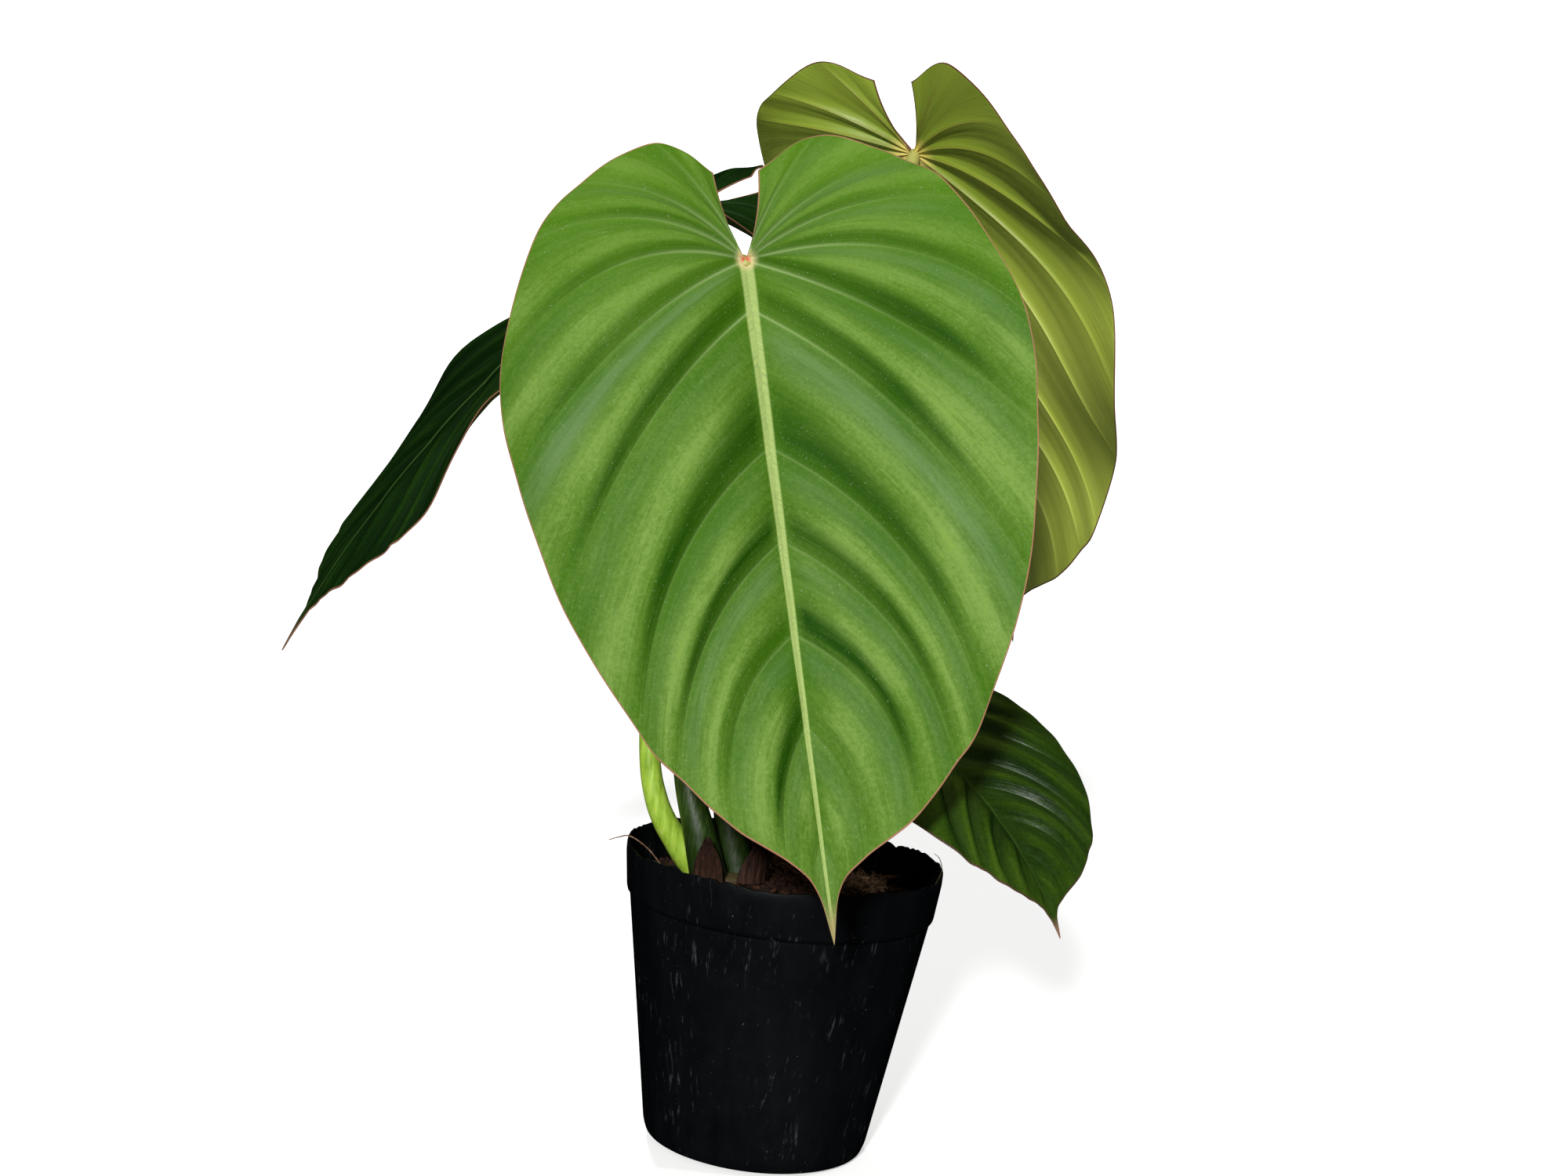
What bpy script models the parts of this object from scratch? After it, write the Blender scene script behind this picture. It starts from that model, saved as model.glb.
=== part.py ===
"""Potted philodendron: four heart-shaped leaves on stalks, rooted in a thin black nursery pot.

Units are metres and +Z is up. The pot's axis is the Z axis and its underside lies at z = 0.
"""

import math

import bmesh
import bpy
from mathutils import Euler, Matrix, Vector

# Pot
POT_SIDES = 56
RIM_HEIGHT = 0.122
RIM_RADIUS = 0.065
BAND_BOTTOM = 0.1025
BAND_RADIUS = 0.0632
WALL_TOP_RADIUS = 0.0618
BASE_RADIUS = 0.0465
FOOT_RADIUS = 0.0405
WALL = 0.0013
LIP_WAVE = 0.0006
DRAIN_HOLES = 8
DRAIN_RING_RADIUS = 0.031
DRAIN_RADIUS = 0.0035

# Potting mix
MIX_SIDES = 40
MIX_EDGE_HEIGHT = 0.1065
MIX_CROWN_HEIGHT = 0.109
MIX_EDGE_RADIUS = 0.0600
CLEARANCE = 0.0004

# Stem at the foot of the plant
STEM_AT = (-0.024, 0.002)
STEM_RADIUS = 0.012
STEM_BOTTOM = 0.074
STEM_TOP = 0.1106
ROOTS = 6
ROOT_RADIUS = 0.0024

# Leaf blades. Each row of RIBS is one side rib of a blade of length 1: where it leaves the midrib, where
# it meets the margin (sideways, along the midrib), and how far it bows toward the base.
RIBS = (
    (0.0, 0.035, -0.145, -0.015),
    (0.0, 0.125, -0.185, 0.02),
    (0.0, 0.24, -0.12, 0.055),
    (0.0, 0.315, -0.035, 0.075),
    (0.0, 0.378, 0.16, 0.12),
    (0.0, 0.37, 0.325, 0.06),
    (0.08, 0.325, 0.525, 0.075),
    (0.295, 0.24, 0.71, 0.105),
    (0.435, 0.195, 0.77, 0.09),
    (0.57, 0.128, 0.84, 0.09),
    (0.70, 0.058, 0.885, 0.04),
    (0.86, 0.018, 0.925, 0.01),
    (1.0, 0.0, 1.0, 0.0),
)
BLADE_THICKNESS = 0.0009
STEPS_PER_RIB = 2
COLUMNS = 7
PLEAT = 0.008

# Angles are in degrees. heading turns the tip away from the front, droop lowers it, roll tips the blade
# about its midrib. ear folds a lobe up or, below zero, down. In a pair, the first value is the left half's
# and the second the right half's.
LEAVES = {
    "front": {
        "at": (-0.042, -0.045, 0.361), "length": 0.263, "heading": 25, "droop": 58, "roll": 11,
        "bend": 14, "sweep": 2, "lobe": 20, "ear": (0, 0), "width": (0.975, 1.03), "fold": (20, 22),
        "curl": (-70, 3), "wave": ((0.004, 0.3), (0.004, 0.1)), "green": (0.13, 0.27, 0.05),
    },
    "back": {
        "at": (0.020, 0.035, 0.411), "length": 0.244, "heading": 149, "droop": 47, "roll": -17,
        "bend": 26, "sweep": 1, "lobe": -93, "ear": (0, 0), "width": (1.12, 1.01), "fold": (-31, -4),
        "curl": (-18, 78), "wave": ((0.038, -0.01), (0.009, 0.05)), "green": (0.22, 0.26, 0.06),
    },
    "left": {
        "at": (-0.072, 0.038, 0.375), "length": 0.241, "heading": -75, "droop": 40, "roll": 8,
        "bend": 25, "sweep": 1, "lobe": 80, "ear": (0, -330), "width": (0.98, 0.96), "fold": (10, -14),
        "curl": (-9, 16), "wave": ((0.026, 0.42), (0.047, 0.28)), "green": (0.02, 0.07, 0.025),
    },
    "right": {
        "at": (0.028, -0.005, 0.188), "length": 0.140, "heading": 50, "droop": 14, "roll": -7,
        "bend": 26, "sweep": -12, "lobe": 30, "ear": (0, 0), "width": (1.04, 1.2), "fold": (6, 23),
        "curl": (-43, -15), "wave": ((0.0, 0.0), (0.0, 0.0)), "green": (0.03, 0.08, 0.02),
    },
}

# Stalks: points of the centre line as (x, y, z, radius), from the stem up to a little below the blade.
STALKS = {
    "front": (
        (-0.030, -0.005, 0.1112, 0.0056), (-0.036, -0.006, 0.128, 0.0052), (-0.045, -0.003, 0.157, 0.0043),
        (-0.049, 0.0, 0.205, 0.0038), (-0.050, 0.002, 0.270, 0.0035), (-0.048, -0.008, 0.325, 0.0032),
        (-0.0445, -0.028, 0.3475, 0.0030),
    ),
    "back": (
        (-0.018, 0.009, 0.1112, 0.0052), (-0.024, 0.010, 0.128, 0.0050), (-0.028, 0.012, 0.157, 0.0040),
        (-0.020, 0.014, 0.215, 0.0036), (-0.003, 0.016, 0.300, 0.0033), (0.010, 0.019, 0.365, 0.0030),
        (0.0165, 0.026, 0.396, 0.0026),
    ),
    "left": (
        (-0.0345, 0.006, 0.1112, 0.0042), (-0.044, 0.003, 0.120, 0.0042), (-0.055, 0.001, 0.138, 0.0040),
        (-0.061, 0.003, 0.165, 0.0037), (-0.065, 0.010, 0.230, 0.0033), (-0.066, 0.024, 0.315, 0.0029),
        (-0.063, 0.037, 0.361, 0.0026),
    ),
    "right": (
        (-0.014, 0.000, 0.1112, 0.0030), (-0.007, 0.004, 0.126, 0.0028), (0.006, 0.008, 0.145, 0.0025),
        (0.018, 0.003, 0.163, 0.0022), (0.0245, -0.003, 0.1755, 0.0020),
    ),
}
STALK_GAP = 0.0013
STALK_SIDES = 10
STALK_RINGS = 22

# Dry sheaths at the stalks' feet: (x, y, turn in degrees, height, width)
SHEATHS = (
    (-0.010, -0.009, -50, 0.026, 0.014),
    (-0.031, -0.0165, -100, 0.022, 0.012),
    (-0.019, 0.0205, 100, 0.024, 0.012),
)
SHEATH_THICKNESS = 0.0007

# Loose bark on the mix: (x, y, turn in degrees, length)
BARK = (
    (0.020, -0.034, 25, 0.015), (-0.010, -0.040, 80, 0.012), (0.044, -0.016, 130, 0.013),
    (0.018, 0.010, 160, 0.011), (0.012, 0.040, 60, 0.014), (-0.030, 0.038, 15, 0.013),
    (-0.046, -0.024, 110, 0.012), (0.046, 0.032, 45, 0.010),
)
MOSS_AT = (0.034, 0.010)
MOSS_RADIUS = 0.011
MOSS_HEIGHT = 0.005


def clear_scene():
    for old in list(bpy.data.objects):
        bpy.data.objects.remove(old, do_unlink=True)


def material(name, colour, roughness):
    made = bpy.data.materials.new(name)
    made.use_nodes = True
    shader = made.node_tree.nodes["Principled BSDF"]
    shader.inputs["Base Color"].default_value = (*colour, 1)
    shader.inputs["Roughness"].default_value = roughness
    shader.inputs["Metallic"].default_value = 0.0
    return made


def make_object(name, shape, stuff, smooth=True):
    """Turns a bmesh into a named object with one material."""
    bmesh.ops.recalc_face_normals(shape, faces=shape.faces)
    mesh = bpy.data.meshes.new(name)
    shape.to_mesh(mesh)
    shape.free()
    for face in mesh.polygons:
        face.use_smooth = smooth
    thing = bpy.data.objects.new(name, mesh)
    bpy.context.scene.collection.objects.link(thing)
    if stuff:
        mesh.materials.append(stuff)
    return thing


def make_cutter(thing):
    thing.hide_render = True
    thing.display_type = "WIRE"
    return thing


def boolean(thing, other, operation):
    step = thing.modifiers.new(operation.lower(), "BOOLEAN")
    step.operation = operation
    step.object = other


def smooth_between(rows, place):
    """A smooth curve through equal-length rows of numbers, read at a place counted in rows."""
    last = len(rows) - 1
    i = min(int(place), last - 1)
    t = place - i
    b, c = rows[i], rows[i + 1]
    a = rows[i - 1] if i > 0 else [2 * p - q for p, q in zip(b, c)]
    d = rows[i + 2] if i + 2 <= last else [2 * q - p for p, q in zip(b, c)]
    out = []
    for p, q, r, s in zip(a, b, c, d):
        cubic = (2 * q) + (r - p) * t + (2 * p - 5 * q + 4 * r - s) * t**2 + (3 * q - p - 3 * r + s) * t**3
        out.append(cubic / 2)
    return out


def lathe(profile, sides):
    """Spins (radius, height) points about Z; the first and last points may lie on the axis."""
    shape = bmesh.new()
    rings = []
    for radius, height in profile:
        if radius < 1e-6:
            rings.append([shape.verts.new((0, 0, height))])
            continue
        angles = [2 * math.pi * k / sides for k in range(sides)]
        rings.append([shape.verts.new((radius * math.cos(a), radius * math.sin(a), height)) for a in angles])
    for low, high in zip(rings, rings[1:]):
        for k in range(sides):
            after = k + 1
            corners = [low[k % len(low)], low[after % len(low)], high[after % len(high)], high[k % len(high)]]
            unique = list(dict.fromkeys(corners))
            shape.faces.new(unique)
    return shape


def tube(points, sides, rings, grow=0.0, level_foot=False):
    """A round bar along a smooth curve through (x, y, z, radius) points, closed at both ends."""
    shape = bmesh.new()
    stops = [smooth_between(points, (len(points) - 1) * k / (rings - 1)) for k in range(rings)]
    centres = [Vector(stop[:3]) for stop in stops]
    side = Vector((1, 0, 0))
    loops = []
    for k, centre in enumerate(centres):
        along = (centres[min(k + 1, rings - 1)] - centres[max(k - 1, 0)]).normalized()
        if level_foot and k == 0:
            along = Vector((0, 0, 1))
        side = (side - along * side.dot(along)).normalized()
        other = along.cross(side)
        radius = stops[k][3] + grow
        loop = []
        for j in range(sides):
            angle = 2 * math.pi * j / sides
            offset = side * math.cos(angle) * radius + other * math.sin(angle) * radius
            loop.append(shape.verts.new(centre + offset))
        loops.append(loop)
    for low, high in zip(loops, loops[1:]):
        for j in range(sides):
            shape.faces.new((low[j], low[(j + 1) % sides], high[(j + 1) % sides], high[j]))
    shape.faces.new(loops[0])
    shape.faces.new(loops[-1])
    return shape


def mix_height(x, y):
    """The top of the potting mix: higher in the middle, with shallow unevenness."""
    share = math.hypot(x, y) / MIX_EDGE_RADIUS
    rise = (MIX_CROWN_HEIGHT - MIX_EDGE_HEIGHT) * (1 - share**2)
    return MIX_EDGE_HEIGHT + rise + 0.0005 * math.sin(x * 210 + 1) * math.sin(y * 240)


def make_pot():
    outside = [
        (0.0, 0.0), (FOOT_RADIUS, 0.0), (FOOT_RADIUS + 0.0042, 0.0018), (BASE_RADIUS, 0.006),
        (WALL_TOP_RADIUS, BAND_BOTTOM - 0.001), (BAND_RADIUS, BAND_BOTTOM), (RIM_RADIUS, RIM_HEIGHT),
    ]
    inside = [
        (RIM_RADIUS - WALL, RIM_HEIGHT), (BAND_RADIUS - WALL, BAND_BOTTOM),
        (WALL_TOP_RADIUS - WALL, BAND_BOTTOM - 0.001), (BASE_RADIUS - WALL, 0.0063),
        (FOOT_RADIUS + 0.0034, 0.0028), (FOOT_RADIUS, WALL), (0.0, WALL),
    ]
    shape = lathe(outside + inside, POT_SIDES)
    for corner in shape.verts:
        if corner.co.z > RIM_HEIGHT - 0.0001:
            angle = math.atan2(corner.co.y, corner.co.x)
            corner.co.z += LIP_WAVE * (math.sin(5 * angle) + 0.6 * math.sin(13 * angle + 1))
    pot = make_object("pot", shape, material("black_plastic", (0.012, 0.013, 0.016), 0.55))
    for k in range(DRAIN_HOLES):
        angle = 2 * math.pi * (k + 0.5) / DRAIN_HOLES
        hole = bmesh.new()
        x, y = DRAIN_RING_RADIUS * math.cos(angle), DRAIN_RING_RADIUS * math.sin(angle)
        bmesh.ops.create_cone(
            hole, cap_ends=True, segments=12, radius1=DRAIN_RADIUS, radius2=DRAIN_RADIUS, depth=0.006,
            matrix=Matrix.Translation((x, y, 0)),
        )
        boolean(pot, make_cutter(make_object(f"drain_cutter_{k + 1}", hole, None)), "DIFFERENCE")
    return pot


def make_mix():
    profile = [
        (0.0, WALL + CLEARANCE), (FOOT_RADIUS - 0.0005, WALL + CLEARANCE), (FOOT_RADIUS + 0.0027, 0.0036),
        (BASE_RADIUS - WALL - 0.0006, 0.007), (MIX_EDGE_RADIUS, BAND_BOTTOM - 0.0015),
        (MIX_EDGE_RADIUS, MIX_EDGE_HEIGHT), (0.045, MIX_EDGE_HEIGHT), (0.03, MIX_EDGE_HEIGHT),
        (0.015, MIX_EDGE_HEIGHT), (0.0, MIX_EDGE_HEIGHT),
    ]
    shape = lathe(profile, MIX_SIDES)
    for corner in shape.verts:
        if corner.co.z > MIX_EDGE_HEIGHT - 0.0001:
            corner.co.z = mix_height(corner.co.x, corner.co.y)
    return make_object("potting_mix", shape, material("potting_mix", (0.035, 0.018, 0.012), 0.95))


def root_points(k):
    """One root, from inside the stem out and down into the mix."""
    angle = 2 * math.pi * (k + 0.3) / ROOTS
    reach = 0.026 + 0.006 * (k % 2)
    x, y = STEM_AT
    ends = []
    for share, depth in ((0.1, 0.084), (0.55, 0.078), (0.85, 0.058), (1.0, 0.036 - 0.008 * (k % 3))):
        radius = ROOT_RADIUS * (1.1 - 0.5 * share)
        pull = 0.35 * share
        out_x, out_y = reach * share * math.cos(angle), reach * share * math.sin(angle)
        ends.append((x * (1 - pull) + out_x, y + out_y, depth, radius))
    return ends


def stem_points(top):
    x, y = STEM_AT
    return (
        (x, y, STEM_BOTTOM, STEM_RADIUS * 0.6), (x, y, STEM_BOTTOM + 0.012, STEM_RADIUS),
        (x, y, top - 0.012, STEM_RADIUS), (x, y, top, STEM_RADIUS),
    )


def make_stem(mix):
    shape = tube(stem_points(STEM_TOP), 16, 7)
    stem = make_object("stem_with_roots", shape, material("stem", (0.12, 0.13, 0.05), 0.6))
    wide = make_cutter(make_object("stem_cutter", tube(stem_points(RIM_HEIGHT), 16, 7, CLEARANCE), None))
    boolean(mix, wide, "DIFFERENCE")
    for k in range(ROOTS):
        root = make_cutter(make_object(f"root_{k + 1}_shape", tube(root_points(k), 8, 8), None))
        boolean(stem, root, "UNION")
        hole = make_cutter(make_object(f"root_{k + 1}_cutter", tube(root_points(k), 8, 8, CLEARANCE), None))
        boolean(mix, hole, "DIFFERENCE")
    return stem


def blade_turn(leaf):
    angles = [math.radians(leaf["droop"]), math.radians(-leaf["roll"]), math.radians(leaf["heading"])]
    return Euler(angles, "YXZ")


def make_stalk(name, points):
    """A stalk that stands on the stem and ends just under its blade, square to it."""
    leaf = LEAVES[name]
    radius = points[-1][3] * 0.9
    gap = STALK_GAP + radius * math.tan(math.radians(max(0, -min(leaf["fold"]))))
    end = Vector(leaf["at"]) - blade_turn(leaf).to_matrix() @ Vector((0, 0, gap))
    shape = tube([*points, (*end, radius)], STALK_SIDES, STALK_RINGS, level_foot=True)
    green = (0.16, 0.30, 0.03) if name == "left" else (0.06, 0.13, 0.03)
    return make_object(f"stalk_{name}", shape, material(f"stalk_{name}", green, 0.4))


def flat_point(place, share):
    """A point of the flat half blade, on the rib at a place in RIBS and at a share of the rib's length."""
    start, x, y, bow = smooth_between(RIBS, place)
    reach = math.hypot(x, y - start) + 1e-9
    middle_x = x / 2 + bow * (y - start) / reach
    middle_y = (start + y) / 2 - bow * x / reach
    flat_x = 2 * (1 - share) * share * middle_x + share**2 * x
    flat_y = (1 - share) ** 2 * start + 2 * (1 - share) * share * middle_y + share**2 * y
    return flat_x, flat_y


def blade_point(leaf, side, place, share):
    """A point of the formed blade in its own frame: tip toward -Y, upper side toward +Z."""
    half = 0 if side < 0 else 1
    x, y = flat_point(place, share)
    x *= leaf["width"][half]
    turn = math.radians(leaf["lobe"] if y < 0 else leaf["bend"]) * y
    angle = math.radians(leaf["fold"][half] + leaf["curl"][half] * x + leaf["ear"][half] * max(0, -y))
    height, phase = leaf["wave"][half]
    rise = x * math.sin(angle) + height * math.sin(2 * math.pi * (2 * y + phase)) * (x / 0.38) ** 2
    rise += PLEAT * abs(math.sin(math.pi * place)) * 4 * share * (1 - share) * min(1, 8 * (1 - y))
    across = side * x * math.cos(angle) + math.sin(math.radians(leaf["sweep"])) * y**2
    along = -y * math.cos(turn / 2) - rise * math.sin(turn)
    up = -y * math.sin(turn / 2) + rise * math.cos(turn)
    return Vector((across, along, up)) * leaf["length"]


def make_leaf(name, leaf):
    shape = bmesh.new()
    rows = (len(RIBS) - 1) * STEPS_PER_RIB + 1
    for side in (-1, 1):
        grid = []
        for i in range(rows):
            place = i / STEPS_PER_RIB
            ribs = [blade_point(leaf, side, place, (j / (COLUMNS - 1)) ** 0.85) for j in range(COLUMNS)]
            grid.append([shape.verts.new(point) for point in ribs])
        for low, high in zip(grid, grid[1:]):
            for j in range(COLUMNS - 1):
                corners = (low[j], low[j + 1], high[j + 1], high[j])
                shape.faces.new(corners if side > 0 else corners[::-1])
    bmesh.ops.remove_doubles(shape, verts=shape.verts, dist=0.0001)
    blade = make_object(f"leaf_{name}", shape, material(f"leaf_{name}", leaf["green"], 0.45))
    body = blade.modifiers.new("thickness", "SOLIDIFY")
    body.thickness = BLADE_THICKNESS
    body.offset = 0
    blade.rotation_mode = "YXZ"
    blade.rotation_euler = blade_turn(leaf)
    blade.location = leaf["at"]
    return blade


def make_sheath(number, x, y, turn, height, width):
    """A dry, pointed sheath, curved around the foot of the stalks."""
    shape = bmesh.new()
    rows = []
    for i in range(6):
        share = i / 5
        half = width / 2 * (1 - share**2) + 0.0008
        row = []
        for j in range(5):
            across = (j / 2 - 1) * half
            depth = -(across**2) / 0.016 + 0.006 * share**2
            row.append(shape.verts.new((depth, across, height * share)))
        rows.append(row)
    for low, high in zip(rows, rows[1:]):
        for j in range(4):
            shape.faces.new((low[j], low[j + 1], high[j + 1], high[j]))
    sheath = make_object(f"sheath_{number}", shape, material(f"sheath_{number}", (0.14, 0.05, 0.025), 0.8))
    body = sheath.modifiers.new("thickness", "SOLIDIFY")
    body.thickness = SHEATH_THICKNESS
    body.offset = 0
    sheath.location = (x, y, mix_height(x, y) + 0.0012)
    sheath.rotation_euler = (0, 0, math.radians(turn))
    return sheath


def make_bark_chip(number, x, y, turn, length):
    shape = bmesh.new()
    bmesh.ops.create_cube(shape, size=1)
    for k, corner in enumerate(shape.verts):
        skew = 1 + 0.22 * math.sin(number * 2.7 + k * 1.9)
        across, along = corner.co.x * length * skew, corner.co.y * length * 0.55 * skew
        corner.co = Vector((across, along, corner.co.z * 0.0032))
    brown = material(f"bark_{number}", (0.10, 0.05, 0.03), 0.9)
    chip = make_object(f"bark_chip_{number}", shape, brown, smooth=False)
    edge = chip.modifiers.new("worn_edges", "BEVEL")
    edge.width = 0.0006
    edge.segments = 1
    chip.location = (x, y, mix_height(x, y) + 0.0032)
    chip.rotation_euler = (0, 0, math.radians(turn))
    return chip


def make_moss():
    shape = bmesh.new()
    bmesh.ops.create_icosphere(shape, subdivisions=2, radius=1)
    for corner in shape.verts:
        swell = 1 + 0.14 * math.sin(corner.co.x * 5 + 2 * corner.co.z) * math.cos(corner.co.y * 6)
        flat = max(corner.co.z, -0.25) * MOSS_HEIGHT
        across, along = corner.co.x * MOSS_RADIUS * swell, corner.co.y * MOSS_RADIUS * 0.75 * swell
        corner.co = Vector((across, along, flat))
    moss = make_object("moss_tuft", shape, material("moss", (0.42, 0.36, 0.2), 0.95))
    moss.location = (*MOSS_AT, mix_height(*MOSS_AT) + 0.0025)
    return moss


clear_scene()
make_pot()
mix_body = make_mix()
make_stem(mix_body)
for stalk_name, centre_line in STALKS.items():
    make_stalk(stalk_name, centre_line)
for leaf_name, form in LEAVES.items():
    make_leaf(leaf_name, form)
for count, sheath_values in enumerate(SHEATHS, 1):
    make_sheath(count, *sheath_values)
for count, chip_values in enumerate(BARK, 1):
    make_bark_chip(count, *chip_values)
make_moss()
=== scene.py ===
import math
import random

import bmesh
import bpy
import numpy as np
from mathutils import Euler, Matrix, Vector, noise


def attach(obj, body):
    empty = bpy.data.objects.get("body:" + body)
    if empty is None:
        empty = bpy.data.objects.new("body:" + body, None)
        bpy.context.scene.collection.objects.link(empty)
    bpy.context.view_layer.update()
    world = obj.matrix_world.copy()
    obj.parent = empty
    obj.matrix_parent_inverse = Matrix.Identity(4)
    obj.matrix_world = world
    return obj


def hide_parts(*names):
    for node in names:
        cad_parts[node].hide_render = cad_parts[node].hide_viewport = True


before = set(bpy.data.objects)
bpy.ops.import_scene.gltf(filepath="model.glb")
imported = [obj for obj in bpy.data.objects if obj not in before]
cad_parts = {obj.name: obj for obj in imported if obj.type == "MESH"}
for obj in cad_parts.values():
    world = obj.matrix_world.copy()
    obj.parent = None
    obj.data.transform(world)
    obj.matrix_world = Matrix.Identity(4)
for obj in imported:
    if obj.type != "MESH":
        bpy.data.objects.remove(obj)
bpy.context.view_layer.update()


# ---- Table, backdrop, lamps and camera ----------------------------------------------------------------
# A pale seamless sweep: a flat table that curves up into a wall all the way round, so that no edge shows
# behind the plant. A strong lamp stands just above the camera, weak ones behind and beside the plant, and a
# faint sky fills in.

SWEEP_PROFILE = ((0.0, -0.0002), (1.9, -0.0002), (2.5, 0.06), (3.0, 0.28), (3.35, 0.7), (3.5, 1.3),
                 (3.5, 4.5))
# Each lamp's strength, its degrees above the table, and its degrees round the plant from the front.
LAMPS = {"key_lamp": (3.5, 21, -9), "rear_lamp": (1.0, 30, 195), "side_lamp": (0.6, 35, 85)}
LAMP_SPREAD = 5
SKY_STRENGTH = 0.30
CAMERA_PLACE = (-0.013, -1.091, 0.378)
CAMERA_TILT = 82.35
CAMERA_ROLL = 6.5
CAMERA_LENS = 62.37


def spun(profile, sides):
    """Corner points and faces of a profile of (radius, height) points turned about the upright axis."""
    angles = 2 * math.pi * np.arange(sides) / sides
    profile = np.array(profile)
    x = profile[:, :1] * np.cos(angles)
    y = profile[:, :1] * np.sin(angles)
    z = np.repeat(profile[:, 1:2], sides, axis=1)
    points = np.stack((x, y, z), axis=-1).reshape(-1, 3)
    return points, grid_faces(len(profile), sides, wrap=True)


def grid_faces(rows, columns, wrap=False, start=0, flip=False):
    """Faces of four corners over a grid of points that is stored row by row."""
    across = np.arange(columns if wrap else columns - 1)
    low = (np.arange(rows - 1)[:, None] * columns + across).ravel() + start
    step = (np.arange(rows - 1)[:, None] * columns + (across + 1) % columns).ravel() + start
    faces = np.stack((low, step, step + columns, low + columns), axis=1)
    return faces[:, ::-1] if flip else faces


def piece(name, points, faces, finish, values=None, second=None):
    """A named mesh from points and faces. values are numbers kept at its points, second marks the faces of
    the second finish."""
    mesh = bpy.data.meshes.new(name)
    mesh.from_pydata([tuple(p) for p in points], [], [tuple(int(c) for c in f) for f in faces])
    for key, numbers in (values or {}).items():
        layer = mesh.attributes.new(key, "FLOAT", "POINT")
        layer.data.foreach_set("value", np.asarray(numbers, np.float32).ravel())
    for stuff in finish if isinstance(finish, (list, tuple)) else [finish]:
        mesh.materials.append(stuff)
    if second is not None:
        mesh.polygons.foreach_set("material_index", np.asarray(second, np.int32))
    mesh.polygons.foreach_set("use_smooth", np.full(len(mesh.polygons), True))
    made = bpy.data.objects.new(name, mesh)
    bpy.context.scene.collection.objects.link(made)
    return made


def welded(made, reach=1e-6):
    """Joins the points of a piece that lie on each other and turns its faces outward."""
    shape = bmesh.new()
    shape.from_mesh(made.data)
    bmesh.ops.remove_doubles(shape, verts=shape.verts, dist=reach)
    bmesh.ops.recalc_face_normals(shape, faces=shape.faces)
    shape.to_mesh(made.data)
    shape.free()
    return made


class Finish:
    """A finish built from nodes. Each call adds one node and gives back its output."""

    def __init__(self, name, settings):
        self.material = bpy.data.materials.new(name)
        self.material.use_nodes = True
        self.tree = self.material.node_tree
        self.shader = self.tree.nodes["Principled BSDF"]
        for socket, value in settings.items():
            self.shader.inputs[socket].default_value = value

    def add(self, kind, inputs=(), output=0, **settings):
        made = self.tree.nodes.new(kind)
        for key, value in settings.items():
            setattr(made, key, value)
        for socket, value in dict(inputs).items():
            if isinstance(value, bpy.types.NodeSocket):
                self.tree.links.new(value, made.inputs[socket])
            else:
                made.inputs[socket].default_value = value
        return made.outputs[output]

    def sum(self, operation, first, second=0.0, third=0.0):
        return self.add("ShaderNodeMath", {0: first, 1: second, 2: third}, operation=operation)

    def times(self, first, second):
        return self.sum("MULTIPLY", first, second)

    def sway(self, tone, pattern, middle, share):
        """The tone, raised where the pattern is above its middle and lowered where it is below."""
        return self.sum("ADD", tone, self.times(self.sum("SUBTRACT", pattern, middle), share))

    def value(self, name):
        """A number that is kept at the piece's points."""
        return self.add("ShaderNodeAttribute", output=2, attribute_name=name)

    def fade(self, name, low, high, first=1.0, last=0.0):
        """A smooth change from first to last as the number kept at the points goes from low to high."""
        return self.range(self.value(name), low, high, first, last)

    def place(self, stretch=(1, 1, 1)):
        spot = self.add("ShaderNodeTexCoord", output=3)
        return self.add("ShaderNodeVectorMath", {0: spot, 1: stretch}, operation="MULTIPLY")

    def noise(self, where, scale, detail=3.0, rough=0.5, twist=0.0):
        inputs = {"Vector": where, "Scale": scale, "Detail": detail, "Roughness": rough, "Distortion": twist}
        return self.add("ShaderNodeTexNoise", inputs)

    def range(self, number, low, high, first=0.0, last=1.0):
        """first up to low, last from high on, and a smooth change between."""
        inputs = {"Value": number, "From Min": low, "From Max": high, "To Min": first, "To Max": last}
        return self.add("ShaderNodeMapRange", inputs, interpolation_type="SMOOTHSTEP")

    def mix(self, share, first, second, blend="MIX"):
        colours = [(*c, 1) if isinstance(c, tuple) else c for c in (first, second)]
        inputs = {0: share, 6: colours[0], 7: colours[1]}
        return self.add("ShaderNodeMix", inputs, output=2, data_type="RGBA", blend_type=blend)

    def ramp(self, number, stops):
        made = self.tree.nodes.new("ShaderNodeValToRGB")
        self.tree.links.new(number, made.inputs[0])
        stops_made = made.color_ramp.elements
        while len(stops_made) < len(stops):
            stops_made.new(0.5)
        for stop, (spot, colour) in zip(stops_made, stops):
            stop.position = spot
            stop.color = (*colour, 1)
        return made.outputs[0]

    def bump(self, height, depth, strength=1.0, under=None):
        inputs = {"Height": height, "Distance": depth, "Strength": strength}
        if under is not None:
            inputs["Normal"] = under
        return self.add("ShaderNodeBump", inputs)

    def into(self, socket, source):
        self.tree.links.new(source, self.shader.inputs[socket])


scene = bpy.context.scene
scene.view_settings.view_transform = "Standard"
scene.view_settings.look = "None"

sweep_finish = Finish("pale_sweep", {"Base Color": (0.93, 0.93, 0.92, 1), "Roughness": 0.85,
                                     "Emission Color": (1, 1, 1, 1), "Emission Strength": 0.4})
sweep_points, sweep_faces = spun(SWEEP_PROFILE, 96)
sweep = welded(piece("sweep", sweep_points, sweep_faces, sweep_finish.material))
sweep.visible_shadow = False
sweep.visible_glossy = False
sweep.visible_diffuse = False

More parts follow.
